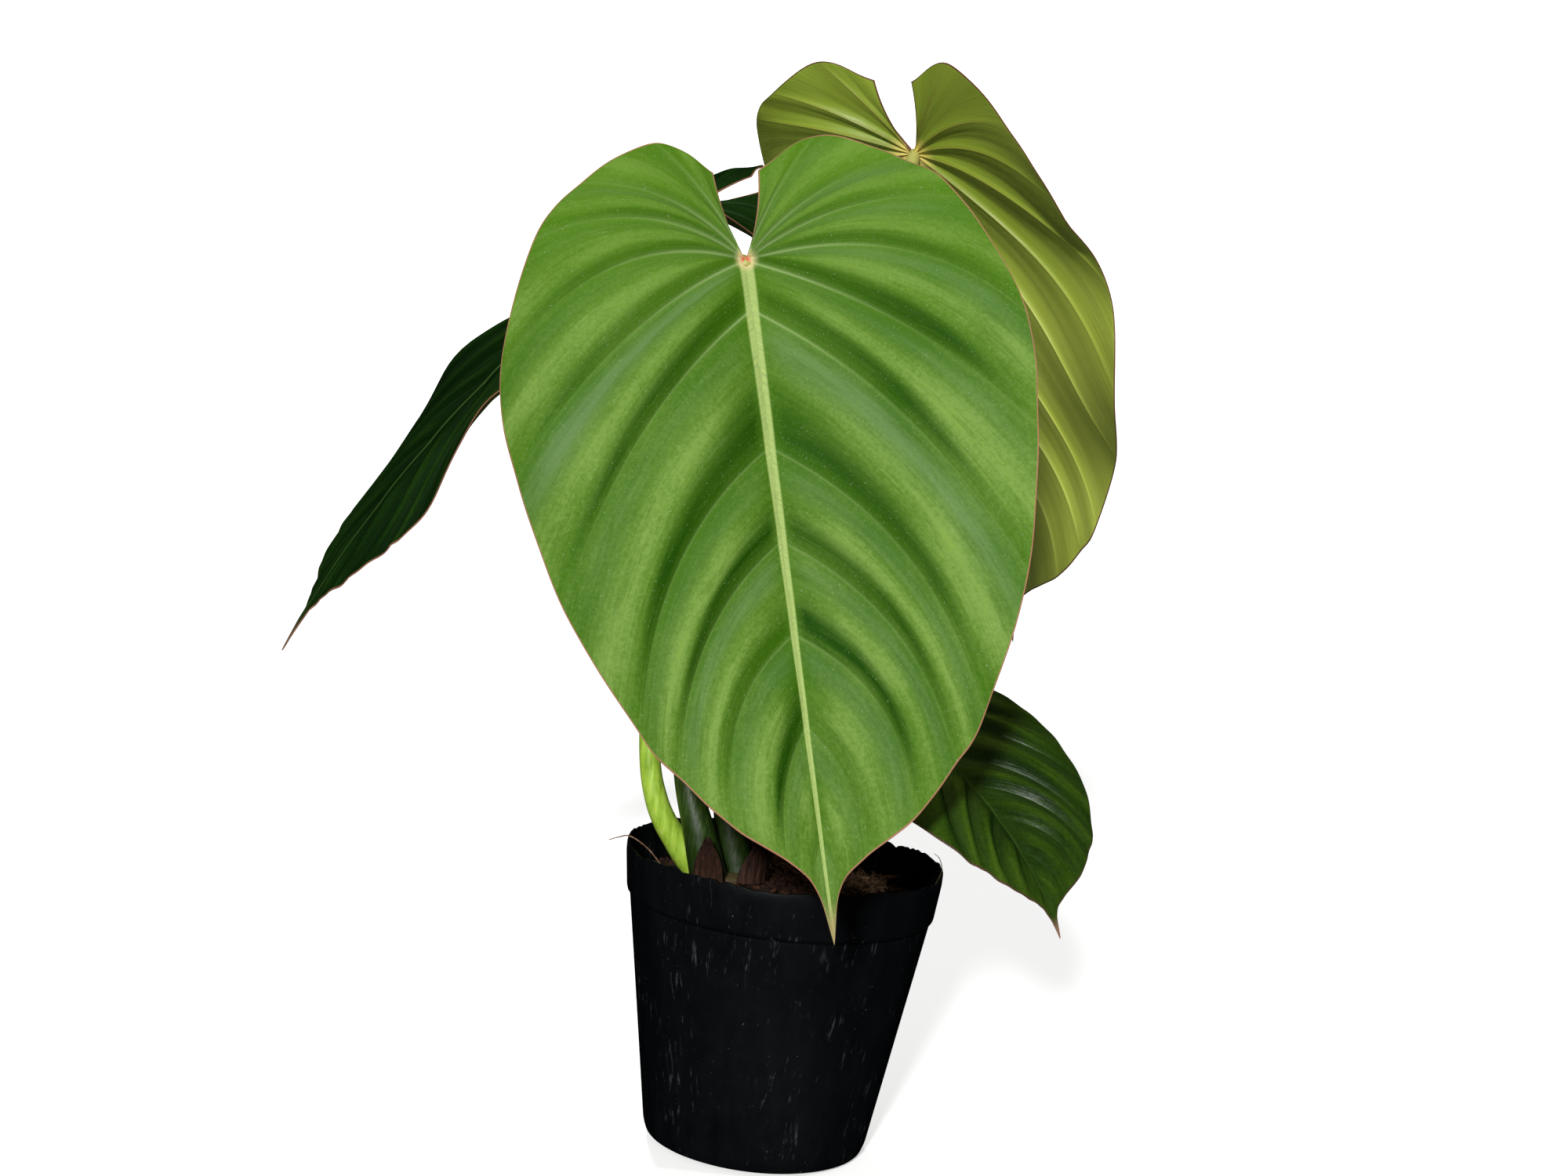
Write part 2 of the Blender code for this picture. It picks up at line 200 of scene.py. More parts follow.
sky = bpy.data.worlds.new("studio_sky")
sky.use_nodes = True
sky.node_tree.nodes["Background"].inputs["Color"].default_value = (1, 1, 1, 1)
sky.node_tree.nodes["Background"].inputs["Strength"].default_value = SKY_STRENGTH
scene.world = sky
scene.world.cycles_visibility.glossy = False

for lamp_name, (strength, elevation, around_plant) in LAMPS.items():
    lamp_data = bpy.data.lights.new(lamp_name, "SUN")
    lamp_data.energy = strength
    lamp_data.angle = math.radians(LAMP_SPREAD)
    lamp = bpy.data.objects.new(lamp_name, lamp_data)
    lamp.rotation_euler = (math.radians(90 - elevation), 0, math.radians(around_plant))
    lamp.visible_glossy = lamp_name == "key_lamp"
    scene.collection.objects.link(lamp)

camera_data = bpy.data.cameras.new("camera")
camera_data.lens = CAMERA_LENS
camera_data.sensor_width = 36
camera_data.sensor_fit = "HORIZONTAL"
camera_data.clip_start = 0.01
camera = bpy.data.objects.new("camera", camera_data)
tilt = Matrix.Rotation(math.radians(CAMERA_TILT), 4, "X") @ Matrix.Rotation(math.radians(CAMERA_ROLL), 4, "Z")
camera.matrix_world = Matrix.Translation(CAMERA_PLACE) @ tilt
scene.collection.objects.link(camera)
scene.camera = camera


# ---- Nursery pot --------------------------------------------------------------------------------------
# A thin black pot of recycled polypropylene, injection moulded, with a band under the lip that stiffens it
# and a ring of drain holes. Handling has left pale vertical scuffs, dust and a slightly torn lip.

POT_SIDES = 224
RIM_HEIGHT = 0.122
RIM_RADIUS = 0.065
BAND_BOTTOM = 0.1025
BAND_RADIUS = 0.0632
WALL_TOP_RADIUS = 0.0618
BASE_RADIUS = 0.0465
FOOT_RADIUS = 0.0405
WALL = 0.0013
LIP_WAVE = 0.0006
LIP_RAGGED = 0.0008
LIP_NICK = 0.0035
CORNER_CUT = 0.0011
SEAM_ANGLE = 192
DRAIN_HOLES = 8
DRAIN_RING_RADIUS = 0.031
DRAIN_RADIUS = 0.0035
DRILL_DEPTH = 0.01

plastic = Finish("black_plastic", {"Base Color": (0.003, 0.0035, 0.004, 1), "Specular IOR Level": 0.08})
around = plastic.place()
upright = plastic.place((1, 1, 0.07))
scuff = plastic.range(plastic.noise(upright, 520, 4, 0.65), 0.57, 0.68)
patch = plastic.range(plastic.noise(around, 42, 3, 0.6), 0.50, 0.66)
scuff = plastic.times(scuff, patch)
dust = plastic.range(plastic.noise(around, 900, 2, 0.7), 0.70, 0.78)
dust = plastic.times(dust, plastic.range(plastic.noise(around, 60, 2), 0.45, 0.7))
haze = plastic.noise(plastic.place((1, 1, 0.25)), 55, 5, 0.65)
body_colour = plastic.ramp(haze, ((0.3, (0.0012, 0.0016, 0.0020)), (0.75, (0.0038, 0.0046, 0.0056))))
body_colour = plastic.mix(plastic.times(scuff, 0.4), body_colour, (0.10, 0.105, 0.11))
body_colour = plastic.mix(plastic.times(dust, 0.7), body_colour, (0.22, 0.22, 0.21))
plastic.into("Base Color", body_colour)
plastic.into("Roughness", plastic.range(plastic.noise(around, 120, 4, 0.7), 0.3, 0.8, 0.38, 0.62))
mould_grain = plastic.bump(plastic.noise(upright, 900, 3), 0.00006, 0.5)
plastic.into("Normal", plastic.bump(plastic.noise(around, 28, 2), 0.0012, 0.6, mould_grain))


def baked(made):
    """Turns a piece's modifiers into its mesh."""
    ready = made.evaluated_get(bpy.context.evaluated_depsgraph_get())
    mesh = bpy.data.meshes.new_from_object(ready)
    made.modifiers.clear()
    made.data = mesh
    return made


def rounded(corners, count):
    """Points that follow a chain of (x, y) corners with each inner corner cut to a short curve."""
    out = [corners[0]]
    for before, corner, after in zip(corners, corners[1:], corners[2:]):
        before, corner, after = (np.array(p[:2], float) for p in (before, corner, after))
        reach = min(CORNER_CUT, np.linalg.norm(corner - before) * 0.4, np.linalg.norm(after - corner) * 0.4)
        start = corner + (before - corner) / np.linalg.norm(before - corner) * reach
        end = corner + (after - corner) / np.linalg.norm(after - corner) * reach
        for t in np.linspace(0, 1, count):
            out.append(tuple((1 - t) ** 2 * start + 2 * t * (1 - t) * corner + t**2 * end))
    return [*out, corners[-1]]


def round_noise(turns, scale, seed):
    """Smooth noise from -1 to 1 round the pot that meets itself again."""
    return np.array([noise.noise(Vector((math.cos(a) * scale, math.sin(a) * scale, seed))) for a in turns])


outer_wall = []
for t in np.linspace(0, 1, 22):
    wall_radius = WALL_TOP_RADIUS - (WALL_TOP_RADIUS - BASE_RADIUS) * t
    outer_wall.append((wall_radius, BAND_BOTTOM - 0.002 - (BAND_BOTTOM - 0.008) * t))
pot_corners = [
    (0.0, WALL), (FOOT_RADIUS, WALL), (FOOT_RADIUS + 0.0034, 0.0028), (BASE_RADIUS - WALL, 0.0063),
    (WALL_TOP_RADIUS - WALL, BAND_BOTTOM - 0.001), (BAND_RADIUS - WALL, BAND_BOTTOM),
    (RIM_RADIUS - WALL, RIM_HEIGHT - 0.004), (RIM_RADIUS - WALL, RIM_HEIGHT), (RIM_RADIUS, RIM_HEIGHT),
    (RIM_RADIUS, RIM_HEIGHT - 0.004), (BAND_RADIUS + 0.0001, BAND_BOTTOM + 0.0005),
    (WALL_TOP_RADIUS, BAND_BOTTOM - 0.001), *outer_wall, (FOOT_RADIUS + 0.0045, 0.0018),
    (FOOT_RADIUS, 0.0), (FOOT_RADIUS - 0.003, 0.0), (FOOT_RADIUS - 0.004, 0.0005), (0.0, 0.0005),
]
pot_points, pot_faces = spun(rounded(pot_corners, 4), POT_SIDES)
turn = np.arctan2(pot_points[:, 1], pot_points[:, 0])
near_lip = np.clip((pot_points[:, 2] - RIM_HEIGHT + 0.003) / 0.003, 0, 1)
ragged = round_noise(turn, 14, 3.1)
nicks = np.maximum(0, round_noise(turn, 33, 8.4) - 0.25)
wave = LIP_WAVE * (np.sin(5 * turn) + 0.6 * np.sin(13 * turn + 1))
pot_points[:, 2] += near_lip * (wave + LIP_RAGGED * ragged - LIP_NICK * nicks)
dent = 1 + 0.004 * np.sin(2 * turn + 0.6) * (pot_points[:, 2] / RIM_HEIGHT) ** 2
pot_points[:, :2] *= dent[:, None]
outer = np.hypot(pot_points[:, 0], pot_points[:, 1]) > BASE_RADIUS + 0.2 * (pot_points[:, 2] - 0.006) - 0.0035
from_seam = (turn - math.radians(SEAM_ANGLE) + math.pi) % (2 * math.pi) - math.pi
seam = 0.0004 * np.exp(-((from_seam / 0.012) ** 2))
seam += 0.0003 * np.exp(-((np.abs(from_seam) - math.pi) / 0.012) ** 2)
pot_points[:, :2] *= (1 + seam * outer * (pot_points[:, 2] > 0.004) / 0.055)[:, None]
pot_shell = welded(piece("pot_shell", pot_points, pot_faces, plastic.material), 1e-5)

hole_shape = bmesh.new()
for k in range(DRAIN_HOLES):
    hole_turn = 2 * math.pi * (k + 0.5) / DRAIN_HOLES
    hole_spot = (DRAIN_RING_RADIUS * math.cos(hole_turn), DRAIN_RING_RADIUS * math.sin(hole_turn), 0)
    bmesh.ops.create_cone(hole_shape, cap_ends=True, segments=28, radius1=DRAIN_RADIUS, radius2=DRAIN_RADIUS,
                          depth=DRILL_DEPTH, matrix=Matrix.Translation(hole_spot))
hole_mesh = bpy.data.meshes.new("drain_holes")
hole_shape.to_mesh(hole_mesh)
hole_shape.free()
hole_cutter = bpy.data.objects.new("drain_holes", hole_mesh)
scene.collection.objects.link(hole_cutter)
drilling = pot_shell.modifiers.new("drain_holes", "BOOLEAN")
drilling.object = hole_cutter
drilling.operation = "DIFFERENCE"
baked(pot_shell)
bpy.data.objects.remove(hole_cutter)
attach(pot_shell, "root")
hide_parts("pot")


# ---- Potting mix --------------------------------------------------------------------------------------
# A damp, dark mix of composted bark, coir and a little grit that fills the pot to below the band. The root
# ball is one mass; the crumbs on top are part of it and lie where watering has settled them.

MIX_EDGE_HEIGHT = 0.1065
MIX_CROWN_HEIGHT = 0.109
MIX_EDGE_RADIUS = 0.0600
CRUMBS = 2300
CRUMB_REACH = 0.0592
# The stem comes up here, and only small crumbs lie close round it.
STEM_AT = (-0.024, 0.002)
STEM_CLEAR = 0.017

mix_finish = Finish("potting_mix", {"Specular IOR Level": 0.2, "Roughness": 0.9})
mix_place = mix_finish.place()
mix_colour = mix_finish.ramp(mix_finish.noise(mix_place, 260, 6, 0.7),
                             ((0.30, (0.006, 0.0025, 0.0015)), (0.5, (0.022, 0.009, 0.005)),
                              (0.64, (0.055, 0.024, 0.012)), (0.82, (0.12, 0.06, 0.03))))
mix_colour = mix_finish.mix(mix_finish.value("shade"), mix_colour, (1.6, 1.35, 1.1), "MULTIPLY")
mix_finish.into("Base Color", mix_colour)
mix_finish.into("Normal", mix_finish.bump(mix_finish.noise(mix_place, 900, 6, 0.75), 0.0007))


def mix_height(x, y):
    """The height of the mix: a shallow crown with a little unevenness."""
    share = np.hypot(x, y) / MIX_EDGE_RADIUS
    rise = (MIX_CROWN_HEIGHT - MIX_EDGE_HEIGHT) * (1 - share**2)
    return MIX_EDGE_HEIGHT + rise + 0.0005 * np.sin(x * 210 + 1) * np.sin(y * 240)


def lumps(points, scale, seed=0.0):
    """Smooth noise from -1 to 1 at each point."""
    return np.array([noise.noise(Vector(p) * scale + Vector((seed, seed * 2, seed * 3))) for p in points])


def pebble(subdivisions):
    """Points and faces of a ball of radius 1, to be knocked out of round."""
    shape = bmesh.new()
    bmesh.ops.create_icosphere(shape, subdivisions=subdivisions, radius=1)
    points = np.array([v.co for v in shape.verts])
    faces = [[v.index for v in f.verts] for f in shape.faces]
    shape.free()
    return points, faces


def joined(parts):
    """Several (points, faces) as one."""
    points, faces, start = [], [], 0
    for part_points, part_faces in parts:
        points.append(part_points)
        faces += [tuple(int(c) + start for c in f) for f in part_faces]
        start += len(part_points)
    return np.vstack(points), faces


bed_profile = [(0.0, WALL + 0.0004), (FOOT_RADIUS - 0.0005, WALL + 0.0004), (FOOT_RADIUS + 0.0027, 0.0036),
               (BASE_RADIUS - WALL - 0.0006, 0.007), (MIX_EDGE_RADIUS, BAND_BOTTOM - 0.0015)]
bed_profile += [(MIX_EDGE_RADIUS * t, MIX_EDGE_HEIGHT) for t in np.linspace(1, 0, 46)]
bed_points, bed_faces = spun(bed_profile, 120)
bed_top = bed_points[:, 2] > MIX_EDGE_HEIGHT - 0.0001
bed_points[bed_top, 2] = mix_height(bed_points[bed_top, 0], bed_points[bed_top, 1])
uneven = 0.0012 * lumps(bed_points[bed_top], 160)
uneven += 0.0006 * lumps(bed_points[bed_top], 420, 4)
bed_points[bed_top, 2] += uneven

crumb_points, crumb_faces = pebble(1)
draw = np.random.default_rng(11)
mix_parts, shades = [(bed_points, bed_faces)], [np.zeros(len(bed_points))]
for k in range(CRUMBS):
    radius = CRUMB_REACH * math.sqrt(draw.random())
    angle = draw.uniform(0, 2 * math.pi)
    x, y = radius * math.cos(angle), radius * math.sin(angle)
    size = 0.0006 + 0.0019 * draw.random() ** 3
    if math.hypot(x - STEM_AT[0], y - STEM_AT[1]) < STEM_CLEAR:
        size = min(size, 0.0008)
    stretch = np.array((draw.uniform(0.8, 1.9), draw.uniform(0.5, 1.0), draw.uniform(0.35, 0.9)))
    spin = np.array(Euler((draw.normal(0, 0.4), draw.normal(0, 0.4), draw.uniform(0, 6.3))).to_matrix())
    crumb = crumb_points * (1 + draw.uniform(-0.28, 0.28, (len(crumb_points), 1))) * stretch * size
    crumb = crumb @ spin.T + (x, y, mix_height(x, y) + size * draw.uniform(-0.1, 0.35))
    mix_parts.append((crumb, crumb_faces))
    shades.append(np.full(len(crumb), draw.random() ** 3 * (2.2 if k % 31 == 0 else 1)))
mix_bed = welded(piece("mix_bed", *joined(mix_parts), mix_finish.material,
                       {"shade": np.clip(np.concatenate(shades), 0, 1)}))
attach(mix_bed, "root")
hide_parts("potting_mix")


# ---- Stem and roots -----------------------------------------------------------------------------------
# A short thick stem, mostly buried, ringed with the scars of shed leaves. Its roots leave it below the
# surface and run out and down through the mix. Stem and roots grew as one piece.

STEM_RADIUS = 0.012
STEM_BOTTOM = 0.074
STEM_TOP = 0.1112
ROOTS = 6
ROOT_RADIUS = 0.0024

stem_finish = Finish("stem", {"Roughness": 0.6, "Specular IOR Level": 0.3})
stem_place = stem_finish.place((1, 1, 3))
stem_colour = stem_finish.ramp(stem_finish.noise(stem_place, 150, 5, 0.65),
                               ((0.3, (0.03, 0.018, 0.008)), (0.55, (0.075, 0.055, 0.02)),
                                (0.8, (0.13, 0.12, 0.04))))
stem_finish.into("Base Color", stem_colour)
stem_finish.into("Normal", stem_finish.bump(stem_finish.noise(stem_place, 420, 5, 0.7), 0.0005))


def smooth_rows(rows, places):
    """A smooth curve through equal-length rows of numbers, read at places counted in rows."""
    table = np.array(rows, float)
    table = np.vstack((2 * table[0] - table[1], table, 2 * table[-1] - table[-2]))
    i = np.minimum(places.astype(int), len(rows) - 2)
    t = (places - i)[:, None]
    a, b, c, d = table[i], table[i + 1], table[i + 2], table[i + 3]
    return (2 * b + (c - a) * t + (2 * a - 5 * b + 4 * c - d) * t**2 + (3 * b - a - 3 * c + d) * t**3) / 2


def bar(points, sides, rings, outline=None, level_foot=False):
    """Points and faces of a round bar along a smooth curve through (x, y, z, radius) rows, with closed ends.
    outline(share, angle) gives a factor for its radius."""
    stops = smooth_rows(points, np.linspace(0, len(points) - 1, rings))
    angles = 2 * math.pi * np.arange(sides) / sides
    side = Vector((1, 0, 0))
    out = []
    for k, stop in enumerate(stops):
        along = Vector(stops[min(k + 1, rings - 1)][:3] - stops[max(k - 1, 0)][:3]).normalized()
        if level_foot and k == 0:
            along = Vector((0, 0, 1))
        side = (side - along * side.dot(along)).normalized()
        other = along.cross(side)
        factor = outline(k / (rings - 1), angles) if outline else np.ones(sides)
        ring = np.outer(np.cos(angles) * factor, side) + np.outer(np.sin(angles) * factor, other)
        out.append(stop[:3] + ring * stop[3])
    ends = np.array([stops[0][:3], stops[-1][:3]])
    count = rings * sides
    faces = [tuple(f) for f in grid_faces(rings, sides, wrap=True)]
    for j in range(sides):
        faces.append((count, (j + 1) % sides, j))
        faces.append((count + 1, count - sides + j, count - sides + (j + 1) % sides))
    return np.vstack((*out, ends)), faces


def stem_outline(share, angles):
    """Ringed with leaf scars and faintly three-sided."""
    return 1 + 0.03 * math.sin(share * 40) + 0.025 * np.sin(3 * angles + share * 9)


def root_outline(share, angles):
    """Lumpy from end to end."""
    return 1 + 0.08 * np.sin(share * 37 + 2 * angles)


stem_x, stem_y = STEM_AT
stem_line = []
for height, share in ((STEM_BOTTOM, 0.6), (STEM_BOTTOM + 0.012, 1), (STEM_TOP - 0.012, 1), (STEM_TOP, 0.95)):
    stem_line.append((stem_x, stem_y, height, STEM_RADIUS * share))
stem_parts = [bar(stem_line, 40, 60, stem_outline)]
for k in range(ROOTS):
    root_turn = 2 * math.pi * (k + 0.3) / ROOTS
    reach = 0.026 + 0.006 * (k % 2)
    line = []
    for share, depth in ((0.1, 0.084), (0.55, 0.078), (0.85, 0.058), (1.0, 0.036 - 0.008 * (k % 3))):
        line.append((stem_x * (1 - 0.35 * share) + reach * share * math.cos(root_turn),
                     stem_y + reach * share * math.sin(root_turn), depth, ROOT_RADIUS * (1.1 - 0.5 * share)))
    stem_parts.append(bar(line, 14, 40, root_outline))
stem_points, stem_faces = joined(stem_parts)
stem_points += 0.0004 * lumps(stem_points, 300)[:, None] * np.array((1, 1, 0.3))
stem_stub = welded(piece("stem_stub", stem_points, stem_faces, stem_finish.material))
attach(stem_stub, "root")
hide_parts("stem_with_roots")


# ---- Leaf blades --------------------------------------------------------------------------------------
# Four heart-shaped blades with drip tips, thin and leathery, velvety above and satin below. Each is one
# grown sheet: a midrib, side ribs that curve up to the margin, and the tissue that pleats between them.

# The ribs of one half, on a blade of length 1: where each leaves the midrib, how far sideways and lengthwise
# it ends, and how far it bows. The first follows the edge of the notch and the last is the tip.
RIBS = (
    (0.0, 0.035, -0.145, -0.015),
    (0.0, 0.125, -0.185, 0.02),
    (0.0, 0.24, -0.12, 0.055),
    (0.0, 0.315, -0.035, 0.075),
    (0.0, 0.378, 0.16, 0.12),
    (0.0, 0.37, 0.325, 0.06),
    (0.08, 0.325, 0.525, 0.075),
    (0.295, 0.24, 0.71, 0.105),
    (0.435, 0.195, 0.77, 0.09),
    (0.57, 0.128, 0.84, 0.09),
    (0.70, 0.058, 0.885, 0.04),
    (0.86, 0.018, 0.925, 0.01),
    (1.0, 0.0, 1.0, 0.0),
)
# Where the mesh lines lie, as shares of the way from rib to rib, and from the midrib to the margin.
ROWS_PER_RIB = (0, 0.012, 0.03, 0.06, 0.11, 0.18, 0.26, 0.35, 0.44, 0.53, 0.61, 0.68, 0.75, 0.81, 0.86, 0.9,
                0.94, 0.97, 0.988)
COLUMNS = (0, 0.005, 0.011, 0.018, 0.026, 0.035, 0.046, 0.06, 0.076, *np.linspace(0.095, 0.95, 46), 0.963,
           0.975, 0.984, 0.991, 0.996, 1.0)
BLADE_THICKNESS = 0.0007
RIB_RISE = 0.00055
FOLD_PEAK = 0.66
FOLD_SHARP = 2.5
MARGIN_RIPPLE = 0.0016

PLAIN_FURROW_SHADES = ((4, 6, 8, 8, 8, 8, 8, 7, 5, 4, 2, 0),) * 2
PLAIN_PAINTED_SHEEN = ((3, 4, 4, 4, 4, 4, 4, 4, 3, 2, 1, 0),) * 2

# Angles are in degrees. heading turns the tip away from the front, droop lowers it, roll tips the blade
# about its midrib, bend curves it lengthwise, sweep bows it sideways, and lobe bends what lies behind the
# joint. In a pair, the first value is the left half's and the second the right half's: width widens a half,
# fold tilts it at the midrib, curl tilts it further towards the margin, ear tilts its lobe, and wave is the
# height and phase of its margin's waves. pleats are the heights of the folds between ribs. The last two
# entries are painted light and shade: how dark the painted shade is in the furrow before each next rib,
# and how pale the painted sheen is after each rib.
LEAVES = {
    "front": {
        "at": (-0.042, -0.045, 0.361), "length": 0.263, "heading": 25, "droop": 58, "roll": 11,
        "bend": 14, "sweep": 2, "lobe": 20, "ear": (0, 0), "width": (0.975, 1.03), "fold": (20, 22),
        "curl": (-70, 3), "wave": ((0.004, 0.3), (0.004, 0.1)), "midrib": 0.0032,
        "pleats": ((5, 8, 10, 11, 10, 13, 14, 13, 7, 8, 2, 1), (5, 8, 10, 11, 14, 11, 12, 12, 10, 4, 2, 1)),
        "furrow_shades": ((5, 6, 10, 7, 8, 11, 12, 11, 4, 11, 2, 0), (6, 4, 6, 9, 12, 9, 9, 9, 12, 2, 0, 0)),
        "painted_sheen": ((1, 2, 5, 2, 2, 7, 2, 2, 4, 3, 3, 3), (2, 4, 8, 5, 5, 3, 6, 3, 3, 4, 3, 3)),
    },
    "back": {
        "at": (0.020, 0.035, 0.411), "length": 0.244, "heading": 149, "droop": 47, "roll": -17,
        "bend": 26, "sweep": 1, "lobe": -93, "ear": (0, 0), "width": (1.12, 1.01), "fold": (-31, -4),
        "curl": (-18, 78), "wave": ((0.038, -0.01), (0.009, 0.05)), "midrib": 0.0026,
        "pleats": ((5, 8, 10, 11, 12, 12, 11, 10, 8, 6, 3, 1),) * 2,
        "furrow_shades": PLAIN_FURROW_SHADES, "painted_sheen": PLAIN_PAINTED_SHEEN,
    },
    "left": {
        "at": (-0.072, 0.038, 0.375), "length": 0.241, "heading": -75, "droop": 40, "roll": 8,
        "bend": 25, "sweep": 1, "lobe": 80, "ear": (0, -330), "width": (0.98, 0.96), "fold": (10, -14),
        "curl": (-9, 16), "wave": ((0.026, 0.42), (0.047, 0.28)), "midrib": 0.0026,
        "pleats": ((4, 7, 9, 9, 10, 11, 10, 9, 8, 6, 3, 1),) * 2,
        "furrow_shades": PLAIN_FURROW_SHADES, "painted_sheen": PLAIN_PAINTED_SHEEN,
    },
    "right": {
        "at": (0.028, -0.005, 0.188), "length": 0.140, "heading": 50, "droop": 14, "roll": -7,
        "bend": 26, "sweep": -12, "lobe": 30, "ear": (0, 0), "width": (1.04, 1.2), "fold": (6, 23),
        "curl": (-43, -15), "wave": ((0.0, 0.0), (0.0, 0.0)), "midrib": 0.0017,
        "pleats": ((6, 12, 17, 20, 24, 26, 24, 21, 16, 10, 5, 1),) * 2,
        "furrow_shades": PLAIN_FURROW_SHADES, "painted_sheen": PLAIN_PAINTED_SHEEN,
    },
}


def blade_turn(leaf):
    """The turn of a blade from its own frame to how it hangs."""
    degrees = (leaf["droop"], -leaf["roll"], leaf["heading"])
    return Euler([math.radians(d) for d in degrees], "YXZ").to_matrix()


def flat_half(places, shares):
    """Half of a flat blade of length 1: sideways and lengthwise positions on a grid of ribs and shares."""
    start, x, y, bow = (column[:, None] for column in smooth_rows(RIBS, places).T)
    reach = np.hypot(x, y - start) + 1e-9
    middle_x = x / 2 + bow * (y - start) / reach
    middle_y = (start + y) / 2 - bow * x / reach
    flat_x = 2 * (1 - shares) * shares * middle_x + shares**2 * x
    flat_y = (1 - shares) ** 2 * start + 2 * (1 - shares) * shares * middle_y + shares**2 * y
    return flat_x, flat_y


def formed(leaf, side, x, y, rise=0.0):
    """Bends flat positions into the blade's standing form, in the blade's own frame and metres."""
    half = 0 if side < 0 else 1
    turn = np.radians(np.where(y < 0, leaf["lobe"], leaf["bend"])) * y
    angle = np.radians(leaf["fold"][half] + leaf["curl"][half] * x + leaf["ear"][half] * np.maximum(0, -y))
    height, phase = leaf["wave"][half]
    rise = rise + x * np.sin(angle) + height * np.sin(2 * np.pi * (2 * y + phase)) * (x / 0.38) ** 2
    across = side * x * np.cos(angle) + math.sin(math.radians(leaf["sweep"])) * y**2
    along = -y * np.cos(turn / 2) - rise * np.sin(turn)
    up = -y * np.sin(turn / 2) + rise * np.cos(turn)
    return np.stack((across, along, up), axis=-1) * leaf["length"]


def facing(leaf, side, x, y):
    """The direction square to the blade's upper side, the same for both halves at the midrib."""
    step = 1e-4
    here = formed(leaf, side, x, y)
    sideways = formed(leaf, side, x + step, y) - here
    lengthwise = formed(leaf, side, x, y + step) - here
    square = np.cross(sideways, lengthwise) * -side
    square /= np.linalg.norm(square, axis=-1, keepdims=True)
    turn = np.radians(np.where(y < 0, leaf["lobe"], leaf["bend"])) * y
    level = np.stack((np.zeros_like(turn), -np.sin(turn), np.cos(turn)), axis=-1)
    blend = np.clip(x / 0.02, 0, 1)[..., None]
    square = level * (1 - blend) + square * blend
    return square / np.linalg.norm(square, axis=-1, keepdims=True)


def fold_shape(f):
    """The rise between two ribs: slow from the first, steep down to the next, 1 at its peak."""
    f = np.clip(f, 1e-6, 1 - 1e-6)
    rising = (f / FOLD_PEAK) ** (FOLD_PEAK * FOLD_SHARP)
    return rising * ((1 - f) / (1 - FOLD_PEAK)) ** ((1 - FOLD_PEAK) * FOLD_SHARP)


def hump(number, middle, width):
    """1 at the middle, falling away smoothly to both sides."""
    return np.exp(-(((number - middle) / width) ** 2))


